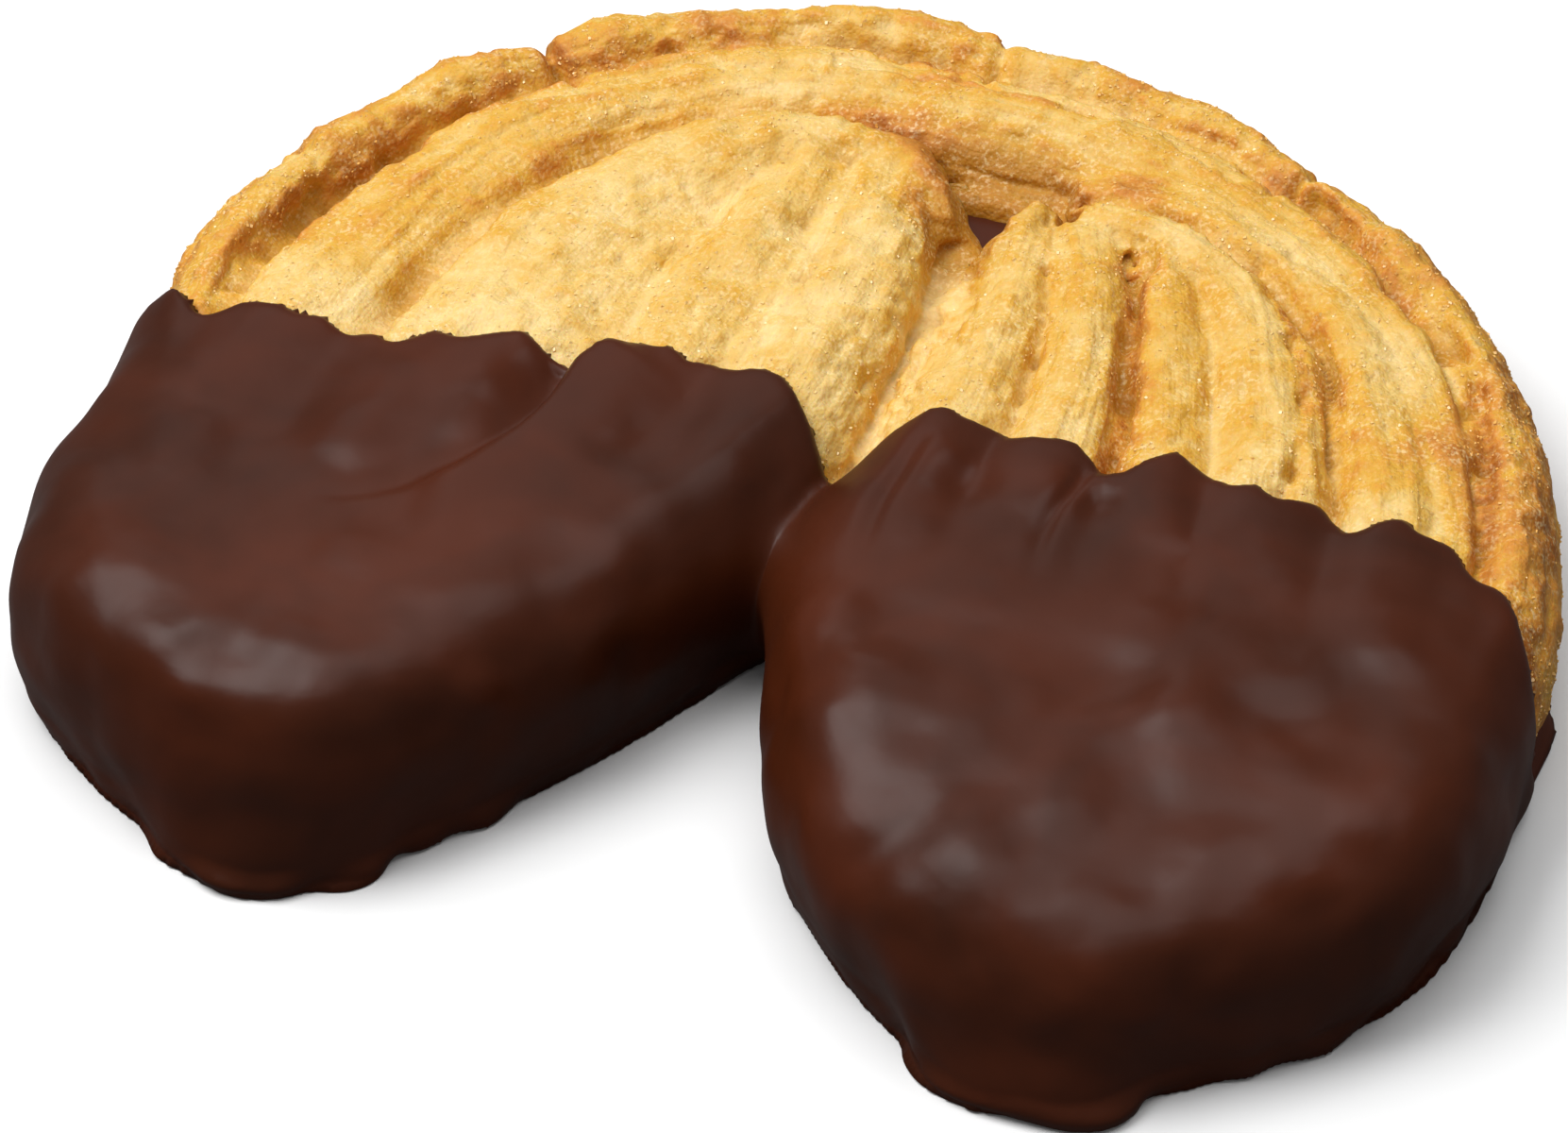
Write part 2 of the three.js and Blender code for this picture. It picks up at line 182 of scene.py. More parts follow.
# The crust shows only beyond this line, Y above the origin, and above this height. It never reaches lower
# than its foot.
SHOWN_FROM_Y = -13.5
SHOWN_ABOVE = 1.8
CRUST_FOOT = 1.5

# How far the crust draws back under the coat: everywhere, more behind the lip, and more at the tips.
DRAW_BACK = 0.3
DRAW_BACK_BEHIND_LIP = 1.3
DRAW_BACK_AT_TIPS = 1.4

# The strips of layers: how far they wander sideways, in strips, how wide the groove between two of them is,
# how much of their step it takes, and how many fine lines a strip has.
STRIP_WANDER = 0.55
STRIP_GROOVE = 0.28
GROOVE_SHARE = 0.35
LINES_PER_STRIP = 2.4

# How much each of these browns the crust, or keeps it pale, on a scale from 0 to 1. The slope entry is partly
# painted shade on steep sides, and the hole entry is painted shade in the hole.
BROWNING = {
    "strip": 0.16,
    "blotch": 0.11,
    "mottle": 0.05,
    "spot": 0.42,
    "slope_browning_and_shade": 0.28,
    "near_coat": 0.16,
    "hole": 0.3,
    "cleft": 0.2,
}

# How often the blocky new meshes are smoothed, and the crust once more at the end.
CRUST_SMOOTHING = 26
COAT_SMOOTHING = 8
LAST_SMOOTHING = 2

# How often the coat's outside is smoothed at the end, and how much more often its film.
OUTSIDE_SMOOTHING = 3
FILM_SMOOTHING = 10

# How much of the mesh is left where nothing shows.
HIDDEN_CRUST_SHARE = 0.06
HIDDEN_COAT_SHARE = 0.08

# Cracks right across the rim: [x, y, half width, depth].
RIM_CRACKS = [
    [-38.6, 47.4, 0.7, 1.6], [-2.2, 61.4, 0.5, 0.8], [27.6, 53.2, 0.5, 0.7], [-51.6, 27.4, 0.6, 0.5],
]

# Where the crust baked darkest, on the heads of the two curls and at the right: [x, y, radius].
BROWN_SPOTS = [
    [-12, 47.6, 2.2], [-8, 47, 2.2], [-4, 45.4, 2.8], [-0.6, 41.4, 3], [-1.6, 37.4, 2.4], [0, 46, 2.2],
    [8.4, 44.6, 2], [14, 45.8, 2.4], [46, 24, 4],
]

# Creases on top of the coat, where one fold stands above the next: their points, half the step, and its
# reach. The left-hand side as the points run is the higher one, and the step fades towards the last point.
COAT_CREASES = [
    ([[-19, 12], [-20.4, 7.6], [-21, 1.4], [-22.4, -3], [-25.4, -8], [-30, -12.4], [-36.6, -14.7]], 0.75, 6),
    ([[22.8, 10], [21.6, 2], [22.4, -5]], 0.3, 2.6),
    ([[9.6, 9], [8.4, 0], [9, -8]], 0.25, 2.6),
]

# Soft rises and hollows of the coat: [x, y, radius, height].
COAT_SWELLS = [
    [-42, -6, 8, -0.7], [-50, -28, 5, 0.2], [-39.6, -33.2, 3, 0.2], [-33, -30, 3, -0.3],
    [-31.6, -27, 3, 0.2], [-21.2, -20, 4, 0.6], [-14, -13, 3, -0.4], [-8.5, -5, 4, 0.4],
    [-28, -37, 4, -0.8], [-22, -31, 3, -0.6], [-27, 2, 2, 0.5], [-23.4, 7.4, 2, 0.4],
    [10.1, 7.6, 2.2, 0.4], [13.4, 4.6, 2, -0.4], [20, 6.4, 2, 0.4], [24, 6, 1.8, -0.5],
    [31.3, -12.3, 4, -0.5], [36.2, -13.7, 3, 0.6], [35.6, -20, 3.4, -0.6], [43.5, -25.3, 3.4, 0.8],
    [38.4, -30, 3, -0.6], [27.8, -31.5, 4, 0.7], [46, -35, 3.5, -0.6], [50.6, -3, 2.8, 0.5],
    [47, 2.4, 2.2, 0.4], [46, -12, 5, -0.4], [20, -12, 6, 0.3], [12.4, -18, 5, 0.5], [18.6, -24.6, 5, 0.5],
    [-46, -26, 5, 0.8], [-38, -29.5, 5, 0.8], [-30, -30, 4, 0.5],
]

# Where the coat ran down to a foot under each ear: middle and half sizes of the lump, in millimetres.
FOOT_LUMPS = [
    ([-35.6, -34.8, 1], [4.6, 3.8, 4.8]), ([-30.6, -36, 1], [5, 3.8, 4.8]),
    ([-25.4, -33.8, 0.6], [4.6, 3.8, 3.8]), ([28.4, -36.8, 1], [4.8, 3.8, 4.8]),
    ([35.6, -37, 1], [5.8, 3.8, 4.8]),
]

# How far the coat is pressed into the crust at its lip, and how much more away from it, in millimetres. Its
# inside is what lies nearer to the solid pastry than the last value.
PRESS_AT_LIP = 0.45
PRESS_MORE = 1.2
INSIDE_REACH = 0.75

# How much lower the right ear's top is at its tip, in millimetres.
TIP_SLOPE = 1.8

# How far the coat's wall is moved out at each height, so that it comes down on the edge of the film. It stays
# as it is beyond this height of the plan.
WALL_END = 12
WALL_HEIGHTS = [0.9, 1.7, 3, 6, 9]
WALL_PUSH = [0.3, 1.6, 1.1, 0.3, 0]

# Lumps on the foot of the coat's wall: their height and size.
NUBBLE_HEIGHT = 0.45
NUBBLE_SIZE = 4.2

# Sugar: how deep a crystal sinks in, as a share of its size, and how much more of it lies on the rim.
SUNK_SHARE = 0.2
RIM_SUGAR = 1.4

# Soft boxes that face the palmier: the setting of their power, their size and their place, in metres.
SOFT_BOXES = {
    "left_box": ("key_power", 0.5, (-0.38, -0.08, 0.7)),
    "overhead_box": ("fill_power", 0.6, (0.1, 0.1, 0.8)),
    "back_box": ("back_power", 0.4, (-0.3, 0.52, 0.56)),
}
SENSOR_WIDTH = 36

FOLD_NAMES = list(FOLD_LINES)
FLAKE_TABLE = np.array([FLAKING[name] for name in FOLD_NAMES])
CHUNK = 20000  # vertices handled at a time


# ---- helpers ----


def linear(colour):
    """A linear RGBA colour from an sRGB hex value."""
    parts = [int(colour[i : i + 2], 16) / 255 for i in (1, 3, 5)]
    return (*[v / 12.92 if v <= 0.04045 else ((v + 0.055) / 1.055) ** 2.4 for v in parts], 1.0)


def add_node(tree, kind, sockets=None, **settings):
    """Adds a shader node with its settings, and fills its sockets with values or links. A node stands for
    its first output."""
    made = tree.nodes.new(kind)
    for name, value in settings.items():
        setattr(made, name, value)
    for socket, value in (sockets or {}).items():
        if isinstance(value, bpy.types.Node):
            value = value.outputs[0]
        if isinstance(value, bpy.types.NodeSocket):
            tree.links.new(value, made.inputs[socket])
        else:
            made.inputs[socket].default_value = value
    return made


def set_ramp(ramp, stops):
    """Gives a Color Ramp node its (position, hex colour) stops."""
    elements = ramp.color_ramp.elements
    while len(elements) > 1:
        elements.remove(elements[-1])
    elements[0].position = stops[0][0]
    elements[0].color = linear(stops[0][1])
    for position, colour in stops[1:]:
        elements.new(position).color = linear(colour)
    return ramp.outputs["Color"]


def new_material(name):
    """An empty node material with its output, and the tree."""
    material = bpy.data.materials.new(name)
    material.use_nodes = True
    material.node_tree.nodes.clear()
    return material, material.node_tree


def select_only(piece):
    """Leaves one object selected and active."""
    bpy.ops.object.select_all(action="DESELECT")
    piece.select_set(True)
    bpy.context.view_layer.objects.active = piece


def apply_modifier(piece, kind, **settings):
    """Adds a modifier with its settings and applies it."""
    select_only(piece)
    modifier = piece.modifiers.new(kind.title(), kind)
    for name, value in settings.items():
        setattr(modifier, name, value)
    bpy.ops.object.modifier_apply(modifier=modifier.name)


def edit_all(piece, operator, **settings):
    """Runs one edit-mode operator on the whole mesh."""
    select_only(piece)
    bpy.ops.object.mode_set(mode="EDIT")
    bpy.ops.mesh.select_all(action="SELECT")
    operator(**settings)
    bpy.ops.object.mode_set(mode="OBJECT")


def copy_of_node(node, name):
    """A new piece from a CAD node's mesh, merged into one skin."""
    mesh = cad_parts[node].data.copy()
    mesh.name = name
    mesh.materials.clear()
    piece = bpy.data.objects.new(name, mesh)
    bpy.context.scene.collection.objects.link(piece)
    edit_all(piece, bpy.ops.mesh.remove_doubles, threshold=0.001 * MM)
    return piece


def skin_of_node(node):
    """A CAD node's faces, ready to be searched."""
    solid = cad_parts[node].data
    return BVHTree.FromPolygons([v.co for v in solid.vertices], [f.vertices for f in solid.polygons])


def read_points(mesh):
    """Vertex places in millimetres and vertex normals."""
    points = np.empty(len(mesh.vertices) * 3)
    mesh.vertices.foreach_get("co", points)
    normals = np.empty(len(mesh.vertices) * 3)
    mesh.vertex_normals.foreach_get("vector", normals)
    return points.reshape(-1, 3) / MM, normals.reshape(-1, 3)


def write_points(mesh, points):
    """Puts the vertices where the points in millimetres say."""
    mesh.vertices.foreach_set("co", (points * MM).ravel())
    mesh.update()


def write_attribute(mesh, name, values):
    """Stores one number for each vertex."""
    attribute = mesh.attributes.new(name, "FLOAT", "POINT")
    attribute.data.foreach_set("value", values.astype(np.float32))


def scramble(h):
    """Turns whole numbers into fixed random ones from 0 to 1, by a common integer hash."""
    h = (h ^ h >> 15) * 2246822519 & 0xFFFFFFFF
    h = (h ^ h >> 13) * 3266489917 & 0xFFFFFFFF
    return (h ^ h >> 16) / 0xFFFFFFFF


def noise(points, size, seed):
    """Smooth noise from -1 to 1 whose lumps have the given size. The size may differ for each axis."""
    p = points / np.asarray(size, float)
    cell = np.floor(p).astype(np.int64)
    f = p - cell
    f = f * f * f * (f * (f * 6 - 15) + 10)
    total = np.zeros(len(points))
    for corner in range(8):
        step = np.array([corner & 1, corner >> 1 & 1, corner >> 2 & 1])
        at = cell + step
        h = at[:, 0] * 73856093 ^ at[:, 1] * 19349663 ^ at[:, 2] * 83492791 ^ seed * 2654435761
        value = scramble(h) * 2 - 1
        total += value * np.prod(np.where(step, f, 1 - f), axis=1)
    return total * 1.6


def draw(a, b, seed):
    """A fixed random number from 0 to 1 for each pair of whole numbers."""
    return scramble(a.astype(np.int64) * 73856093 ^ b.astype(np.int64) * 19349663 ^ seed * 83492791)


def ease(low, high, value):
    """0 below low, 1 above high, smooth between."""
    t = np.clip((value - low) / (high - low), 0, 1)
    return t * t * (3 - 2 * t)


def smooth_line(points, per_span=10):
    """A smooth curve through the points, with a few stations between each two."""
    p = np.array(points, float)
    ends = np.vstack([2 * p[0] - p[1], p, 2 * p[-1] - p[-2]])
    t = np.arange(per_span)[:, None] / per_span
    spans = [
        0.5 * (2 * b + (c - a) * t + (2 * a - 5 * b + 4 * c - d) * t**2 + (3 * b - a - 3 * c + d) * t**3)
        for a, b, c, d in zip(ends, ends[1:], ends[2:], ends[3:])
    ]
    return np.vstack([*spans, p[-1:]])


def distance(plan, x, y):
    """How far each plan point is from one place."""
    return np.hypot(plan[:, 0] - x, plan[:, 1] - y)


def fold_frame(plan):
    """Where each plan point lies: its fold, the next fold, its place along and across its fold, and how
    far the valley to the next fold is."""
    count = len(plan)
    score = np.full((2, count), 1e9)
    owner = np.zeros((2, count), int)
    along = np.zeros(count)
    across = np.zeros(count)
    half = np.ones(count)
    for index, points in enumerate(FOLD_LINES.values()):
        line = smooth_line(points)
        tangent = np.gradient(line[:, :2], axis=0)
        tangent /= np.linalg.norm(tangent, axis=1, keepdims=True)
        reach = np.concatenate([[0], np.cumsum(np.linalg.norm(np.diff(line[:, :2], axis=0), axis=1))])
        for start in range(0, count, CHUNK):
            part = slice(start, start + CHUNK)
            gap = plan[part, None, :] - line[None, :, :2]
            k = (gap**2).sum(2).argmin(1)
            near = gap[np.arange(len(k)), k]
            here = np.hypot(near[:, 0], near[:, 1]) / line[k, 2]
            first = here < score[0, part]
            second = ~first & (here < score[1, part])
            score[1, part] = np.where(first, score[0, part], np.where(second, here, score[1, part]))
            owner[1, part] = np.where(first, owner[0, part], np.where(second, index, owner[1, part]))
            score[0, part] = np.where(first, here, score[0, part])
            owner[0, part] = np.where(first, index, owner[0, part])
            t = tangent[k]
            along[part] = np.where(first, reach[k] + (near * t).sum(1), along[part])
            side = t[:, 0] * near[:, 1] - t[:, 1] * near[:, 0]
            across[part] = np.where(first, side, across[part])
            half[part] = np.where(first, line[k, 2], half[part])
    valley = (score[1] - score[0]) * half / 2
    return owner[0], owner[1], along, across, valley


def near_line(plan, points):
    """For each plan point: its distance from a line, its side, and how far along it is, from 0 to 1."""
    line = smooth_line([[x, y, 0] for x, y in points])[:, :2]
    tangent = np.gradient(line, axis=0)
    tangent /= np.linalg.norm(tangent, axis=1, keepdims=True)
    far = np.full(len(plan), 99.0)
    side = np.zeros(len(plan))
    share = np.zeros(len(plan))
    close = np.nonzero(((plan > line.min(0) - 9) & (plan < line.max(0) + 9)).all(1))[0]
    for start in range(0, len(close), CHUNK):
        part = close[start : start + CHUNK]
        gap = plan[part, None] - line[None]
        k = (gap**2).sum(2).argmin(1)
        near = gap[np.arange(len(k)), k]
        far[part] = np.hypot(near[:, 0], near[:, 1])
        side[part] = tangent[k, 0] * near[:, 1] - tangent[k, 1] * near[:, 0]
        share[part] = k / (len(line) - 1)
    return far, side, share


def near_furrow(plan, points):
    """For each plan point: its distance from a furrow, and the furrow's share there, less at both ends."""
    far, _, share = near_line(plan, points)
    return far, ease(0, 0.08, share) * ease(1, 0.92, share)


def layer_strips(owner, along, across, width):
    """The strips of layers: flat places on the folds, places across the strips, and the strips."""
    flat = np.column_stack([along, across, owner * 37.0])
    strip = across / width + noise(flat, (9, 3, 1), 11) * STRIP_WANDER
    return flat, strip, np.floor(strip)


def neighbour_mean(mesh, values, rounds):
    """Values averaged with their neighbours on the mesh, again and again."""
    edges = np.empty(len(mesh.edges) * 2, np.int32)
    mesh.edges.foreach_get("vertices", edges)
    a, b = edges.reshape(-1, 2).T
    count = len(mesh.vertices)
    share = np.bincount(a, minlength=count) + np.bincount(b, minlength=count)
    columns = values.reshape(count, -1).T.copy()
    for _ in range(rounds):
        for c in range(len(columns)):
            v = columns[c]
            total = np.bincount(a, v[b], count) + np.bincount(b, v[a], count)
            columns[c] = (v + total / np.maximum(share, 1)) / 2
    return columns.T.reshape(values.shape)


def flatten_top(points):
    """Keeps the highest places near the height of the solids."""
    over = np.maximum(points[:, 2] - TOP_KNEE, 0)
    points[:, 2] += TOP_ROOM * np.tanh(over / TOP_ROOM) - over


def thin_out(piece, hidden, share):
    """Thins the part of a mesh that nothing shows, given as one flag for each vertex."""
    mesh = piece.data
    select_only(piece)
    bpy.ops.object.mode_set(mode="EDIT")
    bpy.ops.mesh.select_mode(type="VERT")
    bpy.ops.mesh.select_all(action="DESELECT")
    bpy.ops.object.mode_set(mode="OBJECT")
    mesh.vertices.foreach_set("select", hidden)
    bpy.ops.object.mode_set(mode="EDIT")
    bpy.ops.mesh.select_mode(type="VERT")
    bpy.ops.mesh.decimate(ratio=share)
    bpy.ops.object.mode_set(mode="OBJECT")


def finish_mesh(piece, most):
    """Makes a mesh smooth triangles, no more than the given number, that all face outwards."""
    apply_modifier(piece, "TRIANGULATE")
    share = most / len(piece.data.polygons)
    if share < 1:
        apply_modifier(piece, "DECIMATE", ratio=share)
    edit_all(piece, bpy.ops.mesh.normals_make_consistent, inside=False)
    bpy.ops.object.shade_smooth()


# ---- materials ----


def baked_puff_pastry(look):
    """Baked puff pastry with sugar: matt and crumbly, straw yellow inside the layers, golden to orange brown
    on the edges that stood nearest to the heat, and warm light inside the crumb."""
    material, tree = new_material("baked_puff_pastry")
    place = add_node(tree, "ShaderNodeTexCoord").outputs["Object"]
    brown_and_shade, hollow, layering, along, across = (
        add_node(tree, "ShaderNodeAttribute", attribute_name=name).outputs["Fac"]
        for name in ("browning", "hollow", "layering", "along", "across")
    )
    # Blotches of browning about 3 mm across, and a finer mottle of 0.7 mm.
    blotch = add_node(tree, "ShaderNodeTexNoise", {"Vector": place, "Scale": 330.0, "Detail": 3.0})
    mottle = add_node(tree, "ShaderNodeTexNoise", {"Vector": place, "Scale": 1400.0, "Detail": 2.0})
    blotches = add_node(tree, "ShaderNodeMath", {0: blotch, 1: 0.56, 2: -0.28}, operation="MULTIPLY_ADD")
    mottling = add_node(tree, "ShaderNodeMath", {0: mottle, 1: 0.3, 2: -0.15}, operation="MULTIPLY_ADD")
    uneven = add_node(tree, "ShaderNodeMath", {0: blotches, 1: mottling}, operation="ADD")
    # The browning carries painted shade on steep sides and in the hole along with the baked colour.
    baked_and_shaded = add_node(tree, "ShaderNodeMath", {0: uneven, 1: brown_and_shade}, operation="ADD", use_clamp=True)
    ramp = add_node(tree, "ShaderNodeValToRGB", {"Fac": baked_and_shaded})
    crust = set_ramp(
        ramp,
        [
            (0.0, look.crumb_colour),
            (0.25, look.pale_colour),
            (0.5, look.golden_colour),
            (0.75, look.brown_colour),
            (1.0, look.dark_colour),
        ],
    )
    # Painted shade: the crust is darkened towards the hollow shade colour in the grooves and the hole, where
    # shade falls.
    hollow_shaded = add_node(
        tree, "ShaderNodeMix", {0: hollow, 6: crust, 7: linear(look.hollow_shade_colour)}, data_type="RGBA"
    )
    # Grease and sugar left dark specks, 0.4 mm across and some 4 mm apart.
    speck = add_node(tree, "ShaderNodeTexVoronoi", {"Vector": place, "Scale": 260.0})
    kept = add_node(
        tree, "ShaderNodeMapRange", {"Value": speck.outputs["Color"], 1: 0.62, 2: 0.64, 3: 0.0, 4: 1.0}
    )
    dot = add_node(tree, "ShaderNodeMapRange", {"Value": speck, 1: 0.03, 2: 0.06, 3: kept, 4: 0.0})
    specked = add_node(
        tree, "ShaderNodeMix", {0: dot, 6: hollow_shaded.outputs[2], 7: linear(look.dark_colour)}, data_type="RGBA"
    )
    # Sugar fused into the crust: pale glossy grains of 0.35 mm that lie in patches of some 5 mm.
    grain = add_node(tree, "ShaderNodeTexVoronoi", {"Vector": place, "Scale": 2800.0})
    drift = add_node(tree, "ShaderNodeTexNoise", {"Vector": place, "Scale": 200.0, "Detail": 2.0})
    patch = add_node(tree, "ShaderNodeMapRange", {"Value": drift, 1: 0.35, 2: 0.7, 3: 0.1, 4: 0.6})
    bright = add_node(tree, "ShaderNodeTexNoise", {"Vector": place, "Scale": 2600.0, "Detail": 2.0})
    picked = add_node(tree, "ShaderNodeMapRange", {"Value": bright, 1: 0.5, 2: 0.68, 3: 0.0, 4: 1.0})
    sugar = add_node(tree, "ShaderNodeMath", {0: picked, 1: patch}, operation="MULTIPLY", use_clamp=True)
    sugared = add_node(
        tree,
        "ShaderNodeMix",
        {0: sugar, 6: specked.outputs[2], 7: linear(look.sugar_colour)},
        data_type="RGBA",
    )
    # What is too fine for the mesh: those grains, crumb of 0.6 mm, and the edges of layers, 0.4 mm thick,
    # that run along the folds.
    crumb = add_node(
        tree, "ShaderNodeTexNoise", {"Vector": place, "Scale": 1700.0, "Detail": 3.0, "Roughness": 0.6}
    )
    run = add_node(tree, "ShaderNodeMath", {0: along, 1: 0.16}, operation="MULTIPLY")
    over = add_node(tree, "ShaderNodeMath", {0: across, 1: 2.1}, operation="MULTIPLY")
    fold_place = add_node(tree, "ShaderNodeCombineXYZ", {0: run, 1: over})
    layer = add_node(tree, "ShaderNodeTexNoise", {"Vector": fold_place, "Scale": 1.0, "Detail": 2.0})
    lines = add_node(tree, "ShaderNodeMath", {0: layer, 1: layering}, operation="MULTIPLY")
    grains = add_node(tree, "ShaderNodeMath", {0: grain, 1: -0.35, 2: 0.3}, operation="MULTIPLY_ADD")
    crumbs = add_node(tree, "ShaderNodeMath", {0: crumb, 1: 0.6, 2: grains}, operation="MULTIPLY_ADD")
    height = add_node(tree, "ShaderNodeMath", {0: lines, 1: 0.7, 2: crumbs}, operation="MULTIPLY_ADD")
    bump = add_node(tree, "ShaderNodeBump", {"Height": height, "Strength": 0.9, "Distance": 0.22 * MM})
    glaze = add_node(tree, "ShaderNodeMapRange", {"Value": sugar, 1: 0.0, 2: 0.7, 3: 0.6, 4: 0.3})
    shader = add_node(
        tree,
        "ShaderNodeBsdfPrincipled",
        {
            "Base Color": sugared.outputs[2],
            "Roughness": glaze,
            "IOR": 1.45,
            "Specular IOR Level": 0.4,
            "Subsurface Weight": 0.5,
            "Subsurface Radius": (1.0, 0.55, 0.2),
            "Subsurface Scale": 1.0 * MM,
            "Normal": bump,
        },
    )
    add_node(tree, "ShaderNodeOutputMaterial", {"Surface": shader})
    return material


def dark_chocolate(look):
    """Dark chocolate, dipped and set in cool air: reddish brown, satin, with soft broad highlights that break
    up over faint swirls."""
    material, tree = new_material("dark_chocolate")
    place = add_node(tree, "ShaderNodeTexCoord").outputs["Object"]
    # Clouds of lighter and darker chocolate about 16 mm across.
    cloud = add_node(
        tree, "ShaderNodeTexNoise", {"Vector": place, "Scale": 60.0, "Detail": 3.0, "Distortion": 0.6}
    )
    ramp = add_node(tree, "ShaderNodeValToRGB", {"Fac": cloud})
    tone = set_ramp(ramp, [(0.3, look.dark_colour), (0.7, look.light_colour)])
    # The gloss changes over a few millimetres.
    patch = add_node(tree, "ShaderNodeTexNoise", {"Vector": place, "Scale": 140.0, "Detail": 3.0})
    gloss = add_node(
        tree,
        "ShaderNodeMapRange",
        {"Value": patch, 1: 0.3, 2: 0.7, 3: look.roughness - 0.05, 4: look.roughness + 0.07},
    )
    # Ripples of 2 mm that the coat kept as it set.
    ripple = add_node(tree, "ShaderNodeTexNoise", {"Vector": place, "Scale": 420.0, "Detail": 2.0})
    bump = add_node(tree, "ShaderNodeBump", {"Height": ripple, "Strength": 0.12, "Distance": 0.3 * MM})
    shader = add_node(
        tree,
        "ShaderNodeBsdfPrincipled",
        {
            "Base Color": tone,
            "Roughness": gloss,
            "IOR": 1.48,
            "Specular IOR Level": 0.19,
            "Subsurface Weight": 0.06,
            "Subsurface Radius": (1.0, 0.4, 0.2),
            "Subsurface Scale": 0.6 * MM,
            "Normal": bump,
        },
    )
    add_node(tree, "ShaderNodeOutputMaterial", {"Surface": shader})
    return material


def sugar_crystals(look):
    """Coarse sugar, baked on: clear, faintly yellow crystals that catch the light."""
    material, tree = new_material("baked_sugar_crystals")
    # Crystals on browner crust are browner, and they take on its painted shade too.
    brown_and_shade = add_node(tree, "ShaderNodeAttribute", attribute_name="browning").outputs["Fac"]
    tone = add_node(
        tree,
        "ShaderNodeMix",
        {0: brown_and_shade, 6: linear(look.colour), 7: linear(look.brown_colour)},
        data_type="RGBA",
    )
    shader = add_node(
        tree, "ShaderNodeBsdfPrincipled", {"Base Color": tone.outputs[2], "Roughness": 0.2, "IOR": 1.54}
    )
    add_node(tree, "ShaderNodeOutputMaterial", {"Surface": shader})
    return material


def seamless_paper(look):
    """White seamless paper: matt, with no grain at this size."""
    material, tree = new_material("seamless_paper")
    # The paper throws back less light than it shows, as a floor does that is lit only round the palmier.
    path = add_node(tree, "ShaderNodeLightPath")
    tone = add_node(
        tree,
        "ShaderNodeMix",
        {0: path.outputs["Is Camera Ray"], 6: linear(look.bounce_colour), 7: linear(look.floor_colour)},
        data_type="RGBA",
    )
    shader = add_node(
        tree,
        "ShaderNodeBsdfPrincipled",
        {"Base Color": tone.outputs[2], "Roughness": 0.9, "Specular IOR Level": 0.1},
    )
    add_node(tree, "ShaderNodeOutputMaterial", {"Surface": shader})
    return material


# ---- settings ----


def number(name, description, default, **settings):
    """A number setting, with its unit or subtype."""
    return bpy.props.FloatProperty(name=name, description=description, default=default, **settings)


def whole_number(name, description, default):
    """A whole number setting."""
    return bpy.props.IntProperty(name=name, description=description, default=default)


def millimetres(name, description, default):
    """A length setting, held in metres and shown in the scene's unit."""
    return number(name, description, default * MM, unit="LENGTH", precision=5)


def colour(name, description, default):
    """A colour setting, an sRGB hex value."""
    return bpy.props.StringProperty(name=name, description=description, default=default)


class PalmierCrustSettings(bpy.types.PropertyGroup):
    """Sizes and colours of the baked crust."""

    voxel: millimetres("Mesh size", "Edge length of the crust's mesh before it is thinned", 0.27)
    crumb_height: millimetres("Crumb height", "How far the crumb stands up and down", 0.15)
    lump_height: millimetres("Lump height", "How far the baked lumps stand up and down", 0.21)
    softening: whole_number("Softening", "How often the soft valleys are smoothed", 160)
    flake_share: number("Flaking", "How strongly the layers stand apart", 1.0, subtype="FACTOR")
    triangles: whole_number("Most triangles", "The crust's mesh is thinned to this many", 192000)
    crumb_colour: colour("Crumb", "Inside of the layers", "#EACB88")
    pale_colour: colour("Pale crust", "Crust that took little heat", "#E0B967")
    golden_colour: colour("Golden crust", "Most of the crust", "#D8A336")
    brown_colour: colour("Brown crust", "Rim and edges", "#D08C32")
    dark_colour: colour("Dark crust", "Edges that took most heat", "#AC6518")
    # Painted shade: the colour that the grooves and the hole are darkened towards, where shade falls.
    hollow_shade_colour: colour("Hollows", "Sugar that melted into the grooves", "#B47C1A")
    sugar_colour: colour("Fused sugar", "Grains of sugar in the crust", "#F7DFA8")


class PalmierChocolateSettings(bpy.types.PropertyGroup):
    """Sizes and colours of the chocolate."""

    voxel: millimetres("Mesh size", "Edge length of the coat's mesh before it is thinned", 0.42)
    swell: millimetres("Swell", "How far the coat swells and sinks", 0.4)
    rounding: whole_number("Rounding", "How often the coat is smoothed away from its lip", 240)
    triangles: whole_number("Most triangles", "The coat's mesh is thinned to this many", 180000)
    light_colour: colour("Light clouds", "Lighter chocolate", "#4D200D")
    dark_colour: colour("Dark clouds", "Darker chocolate", "#381708")
    roughness: number("Roughness", "Roughness of the set surface", 0.36, subtype="FACTOR")


class PalmierSugarSettings(bpy.types.PropertyGroup):
    """Number, size and colour of the sugar crystals."""

    crystals: whole_number("Crystals", "How many crystals", 5500)
    size: millimetres("Size", "Middle size of a crystal", 0.19)
    colour: colour("Pale sugar", "Sugar on pale crust", "#F3D692")
    brown_colour: colour("Brown sugar", "Sugar on brown crust", "#E4A84C")


